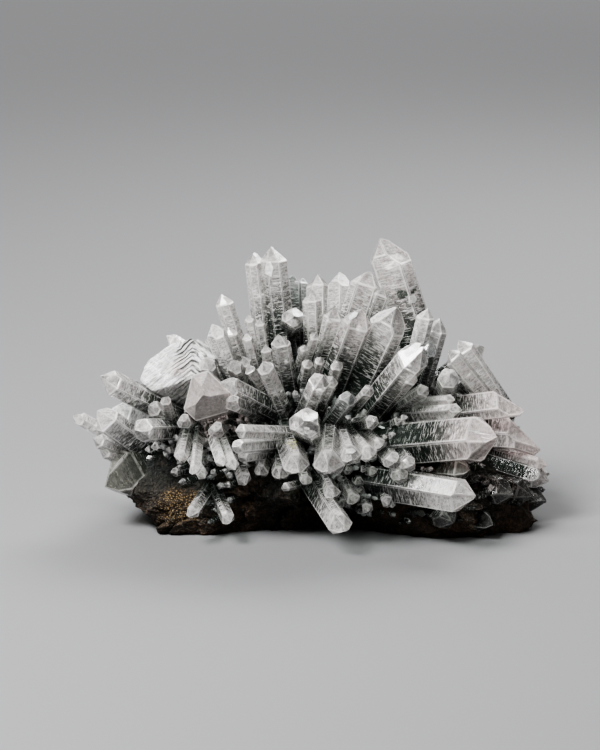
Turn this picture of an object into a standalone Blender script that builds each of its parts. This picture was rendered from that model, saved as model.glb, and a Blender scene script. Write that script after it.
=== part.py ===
"""Chlorite quartz: a cluster of hexagonal quartz points that grew on a lump of dark, chlorite-rich rock.

Units are millimetres in the tables and metres in the meshes. +X runs along the long side of the cluster,
+Y towards its back and +Z up. The origin is on the resting surface, under the middle of the cluster.
"""
import itertools
import math

import bmesh
import bpy
import numpy as np
from mathutils import Matrix, Vector

MM = 0.001

# The front view in which the tables give a crystal's ends: across and up are measured on a plane
# through VIEW_CENTRE, seen from VIEW_DISTANCE away and VIEW_RISE above the horizontal
VIEW_CENTRE = Vector((-4.4, 0.0, 44.0))
VIEW_DISTANCE = 900.0
VIEW_RISE = math.radians(14.0)

# Point of the resting surface, in the tables' coordinates, that becomes the origin
ORIGIN = Vector((-0.9, 5.4, 0.0))

# Gap between one solid and the next one where they grow against each other
GAP = 0.35
# Angle between a crystal's axis and the faces of its point, as quartz has it
POINT_ANGLE = math.radians(38.2)
SIDES = 6
# Faces that meet flatter than this are one face, and points closer than this are one point
FLAT_ANGLE = math.radians(0.2)
DOUBLED = 0.002

# Rock: half lengths of its rounded block, and where the middle of that block is
ROCK_CENTRE = Vector((-3.0, 3.0, 13.0))
ROCK_LEFT, ROCK_RIGHT = 53.0, 60.0
ROCK_FRONT, ROCK_BACK = 28.0, 36.0
ROCK_UP, ROCK_DOWN = 31.0, 21.0
ROCK_SQUARENESS = 2.3
ROCK_AROUND, ROCK_ROWS = 38, 14
# How much shorter the block is towards its left and front where it slopes in under itself
ROCK_UNDERCUT_LEFT, ROCK_UNDERCUT_FRONT = 13.0, 9.0
# Breaks of its surface: size and height of the angular blocks, and height of the fine relief
ROCK_BLOCK_SIZE, ROCK_BLOCK_HEIGHT, ROCK_RELIEF = 13.0, 4.2, 1.6

# Lumps (positive) and pits (negative) of the rock: direction from its middle, height in mm, angular width
ROCK_LUMPS = (
    ((0.98, -0.18, -0.16), 11.0, 0.34),
    ((0.88, 0.40, -0.15), 5.0, 0.34),
    ((0.86, -0.46, -0.20), 13.0, 0.30),
    ((0.98, 0.05, 0.18), 8.0, 0.25),
    ((-0.86, -0.44, -0.26), 13.0, 0.30),
    ((-0.62, -0.70, -0.36), 4.0, 0.26),
    ((-0.97, -0.20, 0.10), 4.0, 0.28),
    ((-0.70, -0.70, -0.02), -6.0, 0.20),
    ((0.25, -0.92, -0.20), -3.0, 0.30),
    ((0.20, 0.15, 0.95), 3.5, 0.40),
    ((-0.55, 0.05, 0.85), -3.0, 0.40),
    ((-0.60, 0.75, -0.20), -3.5, 0.30),
    ((0.05, 0.95, -0.20), 5.0, 0.30),
)

# Finishes: colour, roughness and how much light goes through
FINISHES = {
    "rock": ((0.035, 0.030, 0.024), 0.75, 0.0),
    "clear": ((0.72, 0.73, 0.72), 0.12, 0.85),
    "milky": ((0.80, 0.78, 0.77), 0.30, 0.35),
    "rosy": ((0.62, 0.54, 0.53), 0.18, 0.60),
    "green": ((0.20, 0.25, 0.21), 0.25, 0.50),
    "smoky": ((0.28, 0.27, 0.25), 0.28, 0.45),
}

# Crystals by the piece that they form. Each has its tip and its root as (across, up, depth), then its width.
# The fourth value, where there is one, shifts the tip off the axis, in widths to the right and up.
PIECES = {
    "tall_left_pair": ("clear", [
        ((-13.8, 36.9, 9.5), (-9.8, 2.0, 5.0), 5.8),
        ((-8.7, 38.7, 8.0), (-4.6, 2.0, 4.0), 7.4, (-0.12, 0.0)),
    ]),
    "tall_right": ("clear", [
        ((24.0, 41.1, 14.0), (35.5, 4.0, 9.0), 11.1, (-0.25, 0.0)),
    ]),
    "great_point": ("rosy", [
        ((59.1, -18.6, -30.0), (20.0, -22.0, -8.0), 12.0, (0.0, 0.05)),
    ]),
    "low_point": ("clear", [
        ((52.8, -36.3, -40.0), (8.0, -29.0, -14.0), 9.0, (0.0, 0.15)),
    ]),
    "fan_wide": ("clear", [
        ((29.1, 20.4, -10.0), (13.0, -14.0, -2.0), 9.6),
    ]),
    "fan_upper": ("clear", [
        ((18.6, 19.8, -13.0), (8.0, -8.0, -3.0), 8.1, (0.05, 0.0)),
        ((10.5, 20.4, -5.0), (5.0, -4.0, -2.0), 5.4),
        ((9.0, 17.1, -9.0), (3.0, -2.0, -4.0), 1.8),
    ]),
    "fan_low": ("clear", [
        ((37.2, 8.4, -20.0), (19.0, -14.0, -4.0), 9.0, (0.1, 0.1)),
        ((34.5, 0.6, -20.0), (21.0, -14.0, -4.0), 4.6),
        ((38.5, -3.6, -18.0), (23.0, -14.0, -3.0), 4.0),
    ]),
    "rosette_hex": ("clear", [
        ((1.2, -13.8, -45.0), (3.0, -18.0, -18.0), 8.0, (0.0, -0.05)),
    ]),
    "rosette_down": ("clear", [
        ((8.4, -28.8, -44.0), (10.0, -14.0, -16.0), 8.1),
        ((15.6, -25.5, -42.0), (12.0, -15.0, -16.0), 6.0),
        ((21.6, -24.6, -38.0), (14.0, -16.0, -16.0), 4.8),
        ((24.6, -21.3, -34.0), (17.0, -16.0, -14.0), 3.6),
        ((22.2, -14.1, -34.0), (17.0, -15.0, -12.0), 3.8),
    ]),
    "rosette_up": ("clear", [
        ((6.9, 0.0, -34.0), (1.0, -14.0, -18.0), 6.0),
        ((9.9, -0.4, -29.0), (4.0, -14.0, -17.0), 4.2),
    ]),
    "rosette_up_right": ("green", [
        ((15.3, -5.7, -36.0), (6.0, -18.0, -18.0), 4.2),
    ]),
    "rosette_green": ("clear", [
        ((-0.3, -29.1, -38.0), (-5.0, -15.0, -14.0), 6.9),
    ]),
    "left_arm": ("clear", [
        ((-19.5, -16.8, -37.0), (5.0, -17.6, -18.0), 3.9),
    ]),
    "left_arm_low": ("milky", [
        ((-20.4, -21.6, -34.0), (-2.0, -20.0, -14.0), 3.9),
        ((-18.6, -24.6, -31.0), (-3.0, -22.5, -13.0), 3.4),
    ]),
    "down_point": ("clear", [
        ((13.8, -46.8, -44.0), (0.0, -26.0, -12.0), 6.6, (0.1, 0.0)),
    ]),
    "left_rosette_up": ("clear", [
        ((-11.1, 4.2, -26.0), (-2.0, -17.0, -14.0), 4.8),
    ]),
    "left_rosette_wide": ("clear", [
        ((-24.0, -2.4, -25.0), (-4.0, -13.0, -12.0), 6.3),
    ]),
    "centre_upright": ("clear", [
        ((-6.6, 12.3, -14.0), (-3.0, -8.0, -6.0), 5.1, (-0.1, 0.0)),
    ]),
    "crown_bright": ("clear", [
        ((3.6, 25.5, 6.0), (4.5, 0.0, 3.0), 5.4),
    ]),
    "crown_front_stub": ("clear", [
        ((-1.8, 17.7, -12.0), (-3.4, 14.0, 8.0), 5.8),
    ]),
    "crown_back_left": ("green", [
        ((-2.1, 30.0, 20.0), (-1.5, 4.0, 9.0), 4.2),
        ((0.9, 29.1, 20.5), (0.8, 4.0, 9.5), 3.2),
    ]),
    "crown_blunt": ("clear", [
        ((5.4, 30.3, 19.0), (6.0, 4.0, 8.0), 6.6),
    ]),
    "crown_right": ("clear", [
        ((12.0, 30.9, 18.0), (11.0, 4.0, 8.0), 6.3),
    ]),
    "crown_leaning": ("clear", [
        ((21.0, 31.2, 10.0), (12.0, 4.0, 4.0), 7.8, (0.1, 0.0)),
        ((24.9, 26.4, 8.0), (16.5, 4.0, 4.0), 4.6),
    ]),
    "shoulder_sparkle": ("milky", [
        ((38.4, 20.1, 3.0), (32.0, -6.0, 2.0), 5.0),
        ((42.0, 17.1, 7.0), (34.5, -8.0, 4.0), 7.2, (0.12, 0.0)),
    ]),
    "green_pocket": ("green", [
        ((39.3, 10.2, -6.0), (32.0, -12.0, 0.0), 5.1),
    ]),
    "right_slope": ("clear", [
        ((47.6, 10.4, 1.0), (63.0, -12.5, 6.0), 5.8, (0.1, 0.0)),
        ((44.6, 7.6, -3.0), (61.0, -13.0, 4.0), 5.0, (0.2, 0.0)),
    ]),
    "right_stub": ("milky", [
        ((45.0, 0.6, -12.0), (43.0, -8.0, 4.0), 6.0),
    ]),
    "right_twin": ("clear", [
        ((46.5, -7.3, -17.5), (22.0, -9.5, -3.0), 3.2),
        ((48.6, -10.6, -19.0), (22.0, -12.3, -4.0), 4.4),
    ]),
    "right_shelf": ("rosy", [
        ((67.2, -10.9, -8.0), (26.0, -16.0, -2.0), 8.4, (-0.6, 0.0)),
    ]),
    "right_back_point": ("rosy", [
        ((72.3, -22.5, -6.0), (40.0, -20.0, 0.0), 10.4, (-0.7, 0.0)),
        ((74.1, -27.3, -8.0), (44.0, -19.0, -1.0), 4.2),
    ]),
    "right_blade": ("clear", [
        ((74.7, -31.8, -9.0), (46.0, -23.0, -2.0), 6.6),
    ]),
    "grey_stub": ("smoky", [
        ((51.0, -28.5, -28.0), (32.0, -27.0, -8.0), 6.4),
    ]),
    "left_tower": ("clear", [
        ((-23.7, 24.3, 2.0), (-14.0, -6.0, 1.0), 5.1, (-0.1, 0.0)),
        ((-21.6, 14.4, -2.0), (-14.0, -6.0, -1.0), 4.0),
    ]),
    "left_blunt": ("milky", [
        ((-26.4, 15.3, -4.0), (-17.0, -8.0, -3.0), 5.6),
    ]),
    "rosy_point": ("rosy", [
        ((-29.1, -6.0, -32.0), (-25.0, -8.0, -6.0), 13.0),
    ]),
    "left_long": ("clear", [
        ((-60.0, -0.3, -16.0), (-32.0, -14.0, -4.0), 6.9, (-0.1, 0.15)),
        ((-45.5, -9.5, -20.0), (-32.0, -15.0, -5.0), 4.4),
    ]),
    "left_small": ("clear", [
        ((-68.1, -12.0, -10.0), (-44.0, -25.0, -2.0), 4.2),
    ]),
    "left_broad": ("milky", [
        ((-60.9, -10.8, -16.0), (-40.0, -26.0, -4.0), 7.2, (0.0, 0.1)),
    ]),
    "left_low": ("clear", [
        ((-62.1, -18.9, -14.0), (-44.0, -27.0, -2.0), 4.2),
        ((-60.0, -22.8, -13.0), (-43.0, -28.0, -2.0), 3.4),
    ]),
    "milky_tip": ("milky", [
        ((-49.5, -16.5, -28.0), (-34.0, -16.0, -6.0), 6.2),
    ]),
    "left_down_point": ("clear", [
        ((-31.8, -29.7, -35.0), (-30.0, -14.0, -12.0), 3.2),
    ]),
    "diagonal_points": ("milky", [
        ((-19.5, -28.5, -33.0), (-26.0, -12.0, -12.0), 3.8),
        ((-23.0, -27.4, -33.5), (-28.0, -12.0, -12.0), 3.4),
    ]),
    "smoky_block": ("smoky", [
        ((-58.5, -33.5, -16.0), (-40.0, -24.0, 2.0), 14.0, (0.1, -0.2)),
    ]),
}

# Small points that grow straight from the rock, and are one solid with it
ROCK_POINTS = [
    ((-33.0, -42.3, -34.0), (-26.0, -32.0, -14.0), 3.6),
    ((-21.0, -44.4, -33.0), (-27.0, -32.0, -14.0), 3.8),
    ((-16.2, -33.0, -31.0), (-22.0, -18.0, -12.0), 4.4),
    ((-28.5, -31.0, -30.0), (-37.0, -18.0, -12.0), 3.4),
    ((-36.0, -26.0, -30.0), (-33.0, -14.0, -12.0), 4.0),
    ((-40.5, -6.6, -22.0), (-37.0, -20.0, -8.0), 3.0),
    ((-35.0, -14.0, -30.0), (-32.0, -14.0, -8.0), 4.0),
    ((-25.5, -17.0, -33.0), (-22.0, -14.0, -10.0), 4.4),
    ((-21.6, -8.0, -30.0), (-10.0, -13.0, -10.0), 4.6),
    ((-20.5, 4.0, -16.0), (-14.0, -8.0, -4.0), 4.4),
    ((-17.0, 5.5, -12.0), (-12.0, -8.0, -4.0), 3.4),
    ((-15.6, 18.0, 3.0), (-11.0, -4.0, 2.0), 2.8),
    ((-16.2, 12.6, -3.0), (-11.0, -6.0, -1.0), 3.0),
    ((-12.3, 16.8, 0.0), (-9.0, -4.0, 1.0), 2.8),
    ((-10.5, 9.0, -7.0), (-7.0, -8.0, -3.0), 3.0),
    ((-15.9, 2.7, -20.0), (-5.0, -12.0, -8.0), 3.0),
    ((4.8, 12.6, -9.0), (-2.0, -6.0, -2.0), 2.8),
    ((1.5, 9.0, -10.0), (-3.0, -6.0, -3.0), 2.4),
    ((2.6, 4.6, -15.0), (0.0, -8.0, -4.0), 3.2),
    ((6.3, 5.4, -14.0), (3.0, -7.0, -3.0), 2.8),
    ((11.5, 4.0, -20.0), (8.0, -8.0, -6.0), 3.4),
    ((21.0, -4.0, -24.0), (14.0, -12.0, -6.0), 3.6),
    ((28.2, -26.4, -38.0), (24.0, -22.0, -12.0), 4.8),
    ((32.8, -27.4, -36.0), (29.0, -22.0, -12.0), 4.4),
    ((30.3, -31.2, -35.0), (27.0, -24.0, -12.0), 4.6),
    ((2.1, -32.7, -33.0), (-1.0, -21.0, -12.0), 3.2),
    ((-6.0, -31.0, -31.0), (-6.0, -20.0, -12.0), 4.4),
    ((-12.0, -30.0, -30.0), (-9.0, -20.0, -12.0), 3.8),
    ((-5.1, -33.9, -33.0), (6.0, -31.0, -14.0), 2.4),
    ((10.5, -36.5, -36.0), (4.0, -26.0, -14.0), 4.4),
    ((16.5, -38.5, -34.0), (11.0, -26.0, -14.0), 3.8),
    ((20.4, -41.0, -33.0), (18.0, -32.0, -14.0), 3.2),
    ((26.4, -39.0, -33.0), (24.0, -30.0, -14.0), 3.4),
    ((-56.5, -10.0, -11.0), (-38.0, -15.0, -2.0), 8.0),
    ((70.0, -36.5, -18.0), (46.0, -30.0, -4.0), 7.0),
    ((64.0, -36.0, -26.0), (42.0, -30.0, -6.0), 7.0),
    ((74.0, -38.0, -7.0), (48.0, -33.0, 4.0), 9.0),
    ((46.0, -44.5, -32.0), (32.0, -34.0, -8.0), 7.0),
    ((66.0, -19.0, 14.0), (42.0, -24.0, 8.0), 6.6),
    ((60.0, -9.5, 17.0), (40.0, -20.0, 8.0), 6.4),
    ((70.0, -30.0, 15.0), (44.0, -30.0, 8.0), 6.0),
    ((54.0, -1.0, 20.0), (38.0, -16.0, 10.0), 6.0),
    ((58.0, -45.0, -26.0), (40.0, -36.0, -4.0), 8.0),
]

# Milky block on the left, a convex lump: its corners as (across, up, depth)
SNOW_BLOCK = (
    (-48.3, -1.5, -9.0), (-46.2, 4.2, -7.0), (-42.3, 6.9, -5.0), (-38.5, 9.6, -2.0), (-33.0, 11.1, 0.0),
    (-28.0, 10.2, 1.0), (-24.0, 5.5, -5.0), (-30.0, 0.5, -13.0), (-38.0, -3.0, -15.0), (-45.0, -5.0, -12.0),
    (-45.0, -3.0, 4.0), (-41.0, 6.5, 6.0), (-32.0, 10.3, 8.0), (-24.0, 5.0, 8.0), (-30.0, -12.0, -2.0),
)
SNOW_KNOBS = [
    ((-40.2, 11.7, 6.0), (-28.0, 4.0, 4.0), 3.8),
    ((-28.4, 4.6, -14.0), (-24.0, -6.0, 2.0), 4.8),
]

# Back of the cluster: rows of points that fan out from the rock. Each row has its rise above the
# horizontal in degrees, the first and last heading in degrees, the number of points, reach and width
BACK_ROWS = (
    (3.0, 30.0, 152.0, 7, 11.0, 7.0),
    (21.0, 24.0, 160.0, 8, 15.0, 8.4),
    (39.0, 46.0, 150.0, 7, 16.0, 9.0),
    (58.0, 36.0, 130.0, 5, 13.0, 8.0),
)
BACK_ROOT_SHARE = 0.45
# The widest points of the back are solids of their own
BACK_PIECES = 13


def seen(across, up, depth):
    """Point at a depth on the sight line that meets the front view's plane at across and up."""
    ahead = Vector((0.0, math.cos(VIEW_RISE), -math.sin(VIEW_RISE)))
    upward = Vector((0.0, math.sin(VIEW_RISE), math.cos(VIEW_RISE)))
    eye = VIEW_CENTRE - ahead * VIEW_DISTANCE
    ray = ahead * VIEW_DISTANCE + Vector((across, 0.0, 0.0)) + upward * up
    return eye + ray * ((depth - eye.y) / ray.y)


def wobble(seed, step):
    """Even spread between -1 and 1 that depends on two counts alone."""
    return math.sin(seed * 12.9898 + step * 78.233)


class Crystal:
    """One hexagonal point: where it stands, and the distances of its twelve faces from its axis and tip."""

    def __init__(self, tip, root, width, shift=(0.0, 0.0), seed=0):
        self.tip, self.root, self.width = tip, root, width
        axis = (tip - root).normalized()
        right = Vector((1.0, 0.0, 0.0)) - axis * axis.x
        if right.length < 0.3:
            right = Vector((0.0, 0.0, 1.0)) - axis * axis.z
        right.normalize()
        self.right, self.axis = right, axis
        self.over = axis.cross(right)
        self.offset = (right * shift[0] + self.over * shift[1]) * width
        self.root = root - self.offset * 0.5
        self.turn = 0.5 * wobble(seed, 1)
        self.reach = [width / 2 * (1.0 + 0.13 * wobble(seed, 2 + side)) for side in range(SIDES)]
        self.setback = [width * (0.0 if side % 2 else 0.10 + 0.08 * wobble(seed, 9 + side))
                        for side in range(SIDES)]

    def outward(self, side):
        """Unit direction of one side of the prism, square to the axis."""
        angle = self.turn + math.tau * side / SIDES
        return self.right * math.cos(angle) + self.over * math.sin(angle)

    def mesh(self, grow=0.0):
        """Closed solid of the crystal, each face moved out by grow."""
        base = self.root - self.axis * grow
        height = (self.tip - self.root).length + self.width
        foot = []
        for side in range(SIDES):
            near, far = self.outward(side), self.outward(side + 1)
            a, b = self.reach[side] + grow, self.reach[(side + 1) % SIDES] + grow
            cosine = near.dot(far)
            foot.append(base + (near * (a - b * cosine) + far * (b - a * cosine)) / (1 - cosine ** 2))
        solid = bmesh.new()
        low = [solid.verts.new(corner * MM) for corner in foot]
        high = [solid.verts.new((corner + self.axis * height) * MM) for corner in foot]
        solid.faces.new(list(reversed(low)))
        solid.faces.new(high)
        for side in range(SIDES):
            after = (side + 1) % SIDES
            solid.faces.new((low[side], low[after], high[after], high[side]))
        for side in range(SIDES):
            normal = self.outward(side) * math.cos(POINT_ANGLE) + self.axis * math.sin(POINT_ANGLE)
            point = self.tip + normal * grow + self.axis * self.setback[side]
            cut = bmesh.ops.bisect_plane(solid, geom=solid.verts[:] + solid.edges[:] + solid.faces[:],
                                         plane_co=point * MM, plane_no=normal, clear_outer=True, dist=1e-7)
            rim = [item for item in cut["geom_cut"] if isinstance(item, bmesh.types.BMEdge)]
            bmesh.ops.edgeloop_fill(solid, edges=rim)
        return finished(solid)


def finished(solid):
    """Mesh of a bmesh, which is freed, with its faces turned outwards."""
    bmesh.ops.recalc_face_normals(solid, faces=solid.faces[:])
    mesh = bpy.data.meshes.new("solid")
    solid.to_mesh(mesh)
    solid.free()
    return mesh


def closed(solid):
    """Whether every edge of a bmesh has a face on each side."""
    return all(len(edge.link_faces) == 2 for edge in solid.edges)


def combined(mesh, other, operation):
    """Mesh after a Boolean with another mesh; both inputs are used up."""
    for solver in ("EXACT", "MANIFOLD"):
        result = boolean_result(mesh, other, operation, solver)
        solid = bmesh.new()
        solid.from_mesh(result)
        whole = closed(solid)
        solid.free()
        if whole:
            break
    bpy.data.meshes.remove(mesh)
    bpy.data.meshes.remove(other)
    return result


def boolean_result(mesh, other, operation, solver):
    """New mesh that a Boolean modifier gives."""
    body = bpy.data.objects.new("body", mesh)
    tool = bpy.data.objects.new("tool", other)
    for item in (body, tool):
        bpy.context.scene.collection.objects.link(item)
    modifier = body.modifiers.new("combine", "BOOLEAN")
    modifier.solver = solver
    modifier.operation = operation
    modifier.object = tool
    depsgraph = bpy.context.evaluated_depsgraph_get()
    result = bpy.data.meshes.new_from_object(body.evaluated_get(depsgraph))
    bpy.data.objects.remove(body)
    bpy.data.objects.remove(tool)
    return result


def largest_body(mesh):
    """Only the largest of a mesh's separate bodies, triangulated."""
    solid = bmesh.new()
    solid.from_mesh(mesh)
    bodies, left = [], set(solid.verts)
    while left:
        found, stack = set(), [left.pop()]
        while stack:
            vert = stack.pop()
            found.add(vert)
            neighbours = {edge.other_vert(vert) for edge in vert.link_edges} & left
            left -= neighbours
            stack.extend(neighbours)
        bodies.append(found)
    bodies.sort(key=lambda verts: -spread(verts))
    for verts in bodies[1:]:
        bmesh.ops.delete(solid, geom=list(verts), context="VERTS")
    bpy.data.meshes.remove(mesh)
    return triangulated(solid)


def triangulated(solid):
    """Mesh of triangles, without doubled points and needless edges where it stays closed without them."""
    plain = solid.copy()
    bmesh.ops.remove_doubles(plain, verts=plain.verts[:], dist=DOUBLED * MM)
    bmesh.ops.dissolve_limit(plain, angle_limit=FLAT_ANGLE, verts=plain.verts[:], edges=plain.edges[:])
    bmesh.ops.triangulate(plain, faces=plain.faces[:])
    if not closed(plain):
        plain.free()
        plain = solid.copy()
        bmesh.ops.triangulate(plain, faces=plain.faces[:])
    solid.free()
    return finished(plain)


def spread(verts):
    """Size of the box round some points."""
    return sum(max(v.co[i] for v in verts) - min(v.co[i] for v in verts) for i in range(3))


def boxes_meet(mesh, other, margin=0.001):
    """Whether the boxes round two meshes come within a margin of each other."""
    for i in range(3):
        a = [v.co[i] for v in mesh.vertices]
        b = [v.co[i] for v in other.vertices]
        if min(a) - margin > max(b) or min(b) - margin > max(a):
            return False
    return True


def scattered(cells, salt):
    """Even spread between 0 and 1 over whole-number cells: the fraction of a large sine of their sum."""
    return np.modf(np.abs(np.sin(cells @ np.array([12.9898, 78.233, 37.719]) + salt)) * 43758.5453)[0]


def blocks(places, salt):
    """Height of angular blocks: each place takes the value of the nearest of the cells' scattered seats."""
    near, value = np.full(len(places), np.inf), np.zeros(len(places))
    for step in itertools.product((-1.0, 0.0, 1.0), repeat=3):
        cell = np.floor(places) + step
        seat = cell + np.stack([scattered(cell, salt + axis) for axis in (1, 2, 3)], axis=1)
        gap = ((places - seat) ** 2).sum(axis=1)
        value = np.where(gap < near, scattered(cell, salt + 4), value)
        near = np.minimum(gap, near)
    return value - 0.5


def swells(places, salt):
    """Smooth noise between -1 and 1: the values of the eight corners of each cell, blended with eased weights."""
    cell = np.floor(places)
    part = places - cell
    ease = part * part * (3.0 - 2.0 * part)
    total = np.zeros(len(places))
    for corner in itertools.product((0.0, 1.0), repeat=3):
        weight = np.where(np.array(corner) > 0.5, ease, 1.0 - ease).prod(axis=1)
        total += weight * scattered(cell + corner, salt)
    return 2.0 * total - 1.0


def rock_reach(directions):
    """Distances from the middle of the rock to its surface: a squarish block with lumps, pits and breaks."""
    x, y, z = directions.T
    under = np.clip(-3.0 * z, 0.0, 1.0)
    half = np.stack([
        np.where(x > 0.0, ROCK_RIGHT, ROCK_LEFT - ROCK_UNDERCUT_LEFT * under),
        np.where(y > 0.0, ROCK_BACK, ROCK_FRONT - ROCK_UNDERCUT_FRONT * under),
        np.where(z > 0.0, ROCK_UP, ROCK_DOWN),
    ], axis=1)
    reach = (np.abs(directions / half) ** ROCK_SQUARENESS).sum(axis=1) ** (-1.0 / ROCK_SQUARENESS)
    for lump, height, width in ROCK_LUMPS:
        toward = np.array(lump) / np.linalg.norm(lump)
        angle = np.arccos(np.clip(directions @ toward, -1.0, 1.0))
        reach += height * np.exp(-((angle / width) ** 2))
    places = directions * reach[:, None] / ROCK_BLOCK_SIZE
    return reach + ROCK_BLOCK_HEIGHT * blocks(places, 0.0) + ROCK_RELIEF * swells(places * 2.6, 9.0)


def rock_mesh(grow=0.0):
    """Rock as one closed solid, cut flat where it rests."""
    polar, heading = np.meshgrid(np.linspace(0.0, math.pi, ROCK_ROWS + 1)[1:-1],
                                 math.tau * np.arange(ROCK_AROUND) / ROCK_AROUND, indexing="ij")
    grid = np.stack([np.sin(polar) * np.cos(heading), np.sin(polar) * np.sin(heading), np.cos(polar)], axis=-1)
    directions = np.concatenate([grid.reshape(-1, 3), [(0.0, 0.0, 1.0), (0.0, 0.0, -1.0)]])
    points = (np.array(ROCK_CENTRE) + directions * (rock_reach(directions) + grow)[:, None]) * MM
    solid = bmesh.new()
    verts = [solid.verts.new(point) for point in points]
    rows = [verts[row * ROCK_AROUND:(row + 1) * ROCK_AROUND] for row in range(ROCK_ROWS - 1)]
    top, bottom = verts[-2:]
    down = Vector((0.0, 0.0, -1.0))
    for step in range(ROCK_AROUND):
        after = (step + 1) % ROCK_AROUND
        solid.faces.new((top, rows[0][step], rows[0][after]))
        solid.faces.new((bottom, rows[-1][after], rows[-1][step]))
        for upper, lower in zip(rows, rows[1:]):
            solid.faces.new((upper[step], lower[step], lower[after], upper[after]))
    bmesh.ops.triangulate(solid, faces=solid.faces[:])
    cut = bmesh.ops.bisect_plane(solid, geom=solid.verts[:] + solid.edges[:] + solid.faces[:],
                                 plane_co=(0.0, 0.0, -grow * MM), plane_no=down, clear_outer=True, dist=1e-7)
    rim = [item for item in cut["geom_cut"] if isinstance(item, bmesh.types.BMEdge)]
    bmesh.ops.edgeloop_fill(solid, edges=rim)
    return finished(solid)


def hull_mesh(corners, grow=0.0):
    """Convex lump round some corners, each pushed out from their middle by grow."""
    points = [seen(*corner) for corner in corners]
    middle = sum(points, Vector()) / len(points)
    solid = bmesh.new()
    for point in points:
        solid.verts.new((point + (point - middle).normalized() * grow) * MM)
    made = bmesh.ops.convex_hull(solid, input=solid.verts[:])
    spare = [item for item in made["geom_interior"] if isinstance(item, bmesh.types.BMVert)]
    bmesh.ops.delete(solid, geom=spare, context="VERTS")
    return finished(solid)


def listed(rows, seed):
    """Crystals of a table's rows."""
    made = []
    for count, row in enumerate(rows):
        shift = row[3] if len(row) > 3 else (0.0, 0.0)
        made.append(Crystal(seen(*row[0]), seen(*row[1]), row[2], shift, seed + count))
    return made


def back_crystals():
    """Crystals of the back, row by row, as they fan out from the middle of the rock."""
    made = []
    for level, (rise, first, last, count, reach, width) in enumerate(BACK_ROWS):
        for step in range(count):
            seed = 300 + level * 20 + step
            heading = first + (last - first) * (step + 0.35 * wobble(seed, 3)) / (count - 1)
            slope = math.radians(rise + 7.0 * wobble(seed, 4))
            heading = math.radians(heading)
            direction = Vector((math.cos(slope) * math.cos(heading), math.cos(slope) * math.sin(heading),
                                math.sin(slope)))
            surface = rock_reach(np.array([direction]))[0]
            size = width * (1.0 + 0.28 * wobble(seed, 5))
            tip = ROCK_CENTRE + direction * (surface + reach * (1.0 + 0.3 * wobble(seed, 6)))
            lean = Vector((wobble(seed, 7), wobble(seed, 8), 0.4)) * 4.0
            root = ROCK_CENTRE + direction * surface * BACK_ROOT_SHARE
            made.append(Crystal(tip + lean, root, size, (0.1 * wobble(seed, 9), 0.0), seed))
    return made


def material(name):
    """Principled material of one finish."""
    if name in bpy.data.materials:
        return bpy.data.materials[name]
    colour, roughness, clearness = FINISHES[name]
    made = bpy.data.materials.new(name)
    made.use_nodes = True
    shader = made.node_tree.nodes["Principled BSDF"]
    shader.inputs["Base Color"].default_value = (*colour, 1.0)
    shader.inputs["Roughness"].default_value = roughness
    shader.inputs["Metallic"].default_value = 0.0
    shader.inputs["IOR"].default_value = 1.54
    shader.inputs["Transmission Weight"].default_value = clearness
    return made


def place(name, mesh, finish):
    """Object of a finished solid."""
    mesh.name = name
    mesh.transform(Matrix.Translation(-ORIGIN * MM))
    mesh.materials.clear()
    mesh.materials.append(material(finish))
    item = bpy.data.objects.new(name, mesh)
    bpy.context.scene.collection.objects.link(item)
    return item


def parted(mesh, others):
    """A mesh after the grown copies of other solids, where they come near, are cut from it."""
    for make in others:
        tool = make(GAP)
        if boxes_meet(mesh, tool):
            mesh = combined(mesh, tool, "DIFFERENCE")
        else:
            bpy.data.meshes.remove(tool)
    return mesh


def grown_piece(crystals, earlier, first=None):
    """Crystals joined in one solid, parted by the gap from the rock and from the earlier crystals."""
    mesh = first if first else crystals[0].mesh()
    for crystal in crystals if first else crystals[1:]:
        mesh = combined(mesh, crystal.mesh(), "UNION")
    mesh = combined(mesh, rock_mesh(GAP), "DIFFERENCE")
    return largest_body(parted(mesh, earlier))


def build():
    """Whole cluster: the pieces of crystals, front ones first, then the rock with its small points."""
    for item in list(bpy.data.objects):
        bpy.data.objects.remove(item)

    made = []
    for number, (name, (finish, rows)) in enumerate(PIECES.items()):
        crystals = listed(rows, 10 + 5 * number)
        place(name, grown_piece(crystals, made), finish)
        made += [crystal.mesh for crystal in crystals]

    knobs = listed(SNOW_KNOBS, 280)
    place("snow_block", grown_piece(knobs, made, hull_mesh(SNOW_BLOCK)), "milky")
    made += [lambda grow: hull_mesh(SNOW_BLOCK, grow)] + [crystal.mesh for crystal in knobs]

    back = sorted(back_crystals(), key=lambda crystal: -crystal.width)
    for number, crystal in enumerate(back[:BACK_PIECES]):
        place(f"back_point_{number + 1}", grown_piece([crystal], made), "clear")
        made.append(crystal.mesh)

    rock = rock_mesh()
    for crystal in listed(ROCK_POINTS, 200) + back[BACK_PIECES:]:
        rock = combined(rock, parted(crystal.mesh(), made), "UNION")
    place("rock", largest_body(rock), "rock")


build()
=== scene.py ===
"""Chlorite quartz: the looks of a cluster of hexagonal quartz points on a lump of dark, chlorite-rich rock.

Sizes are millimetres until a surface becomes a mesh, which is in metres. The tables of points and the form
of the rock are the construction's own.
"""
import itertools
import math

import bmesh
import bpy
import numpy as np
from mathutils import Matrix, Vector
from mathutils.bvhtree import BVHTree


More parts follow.
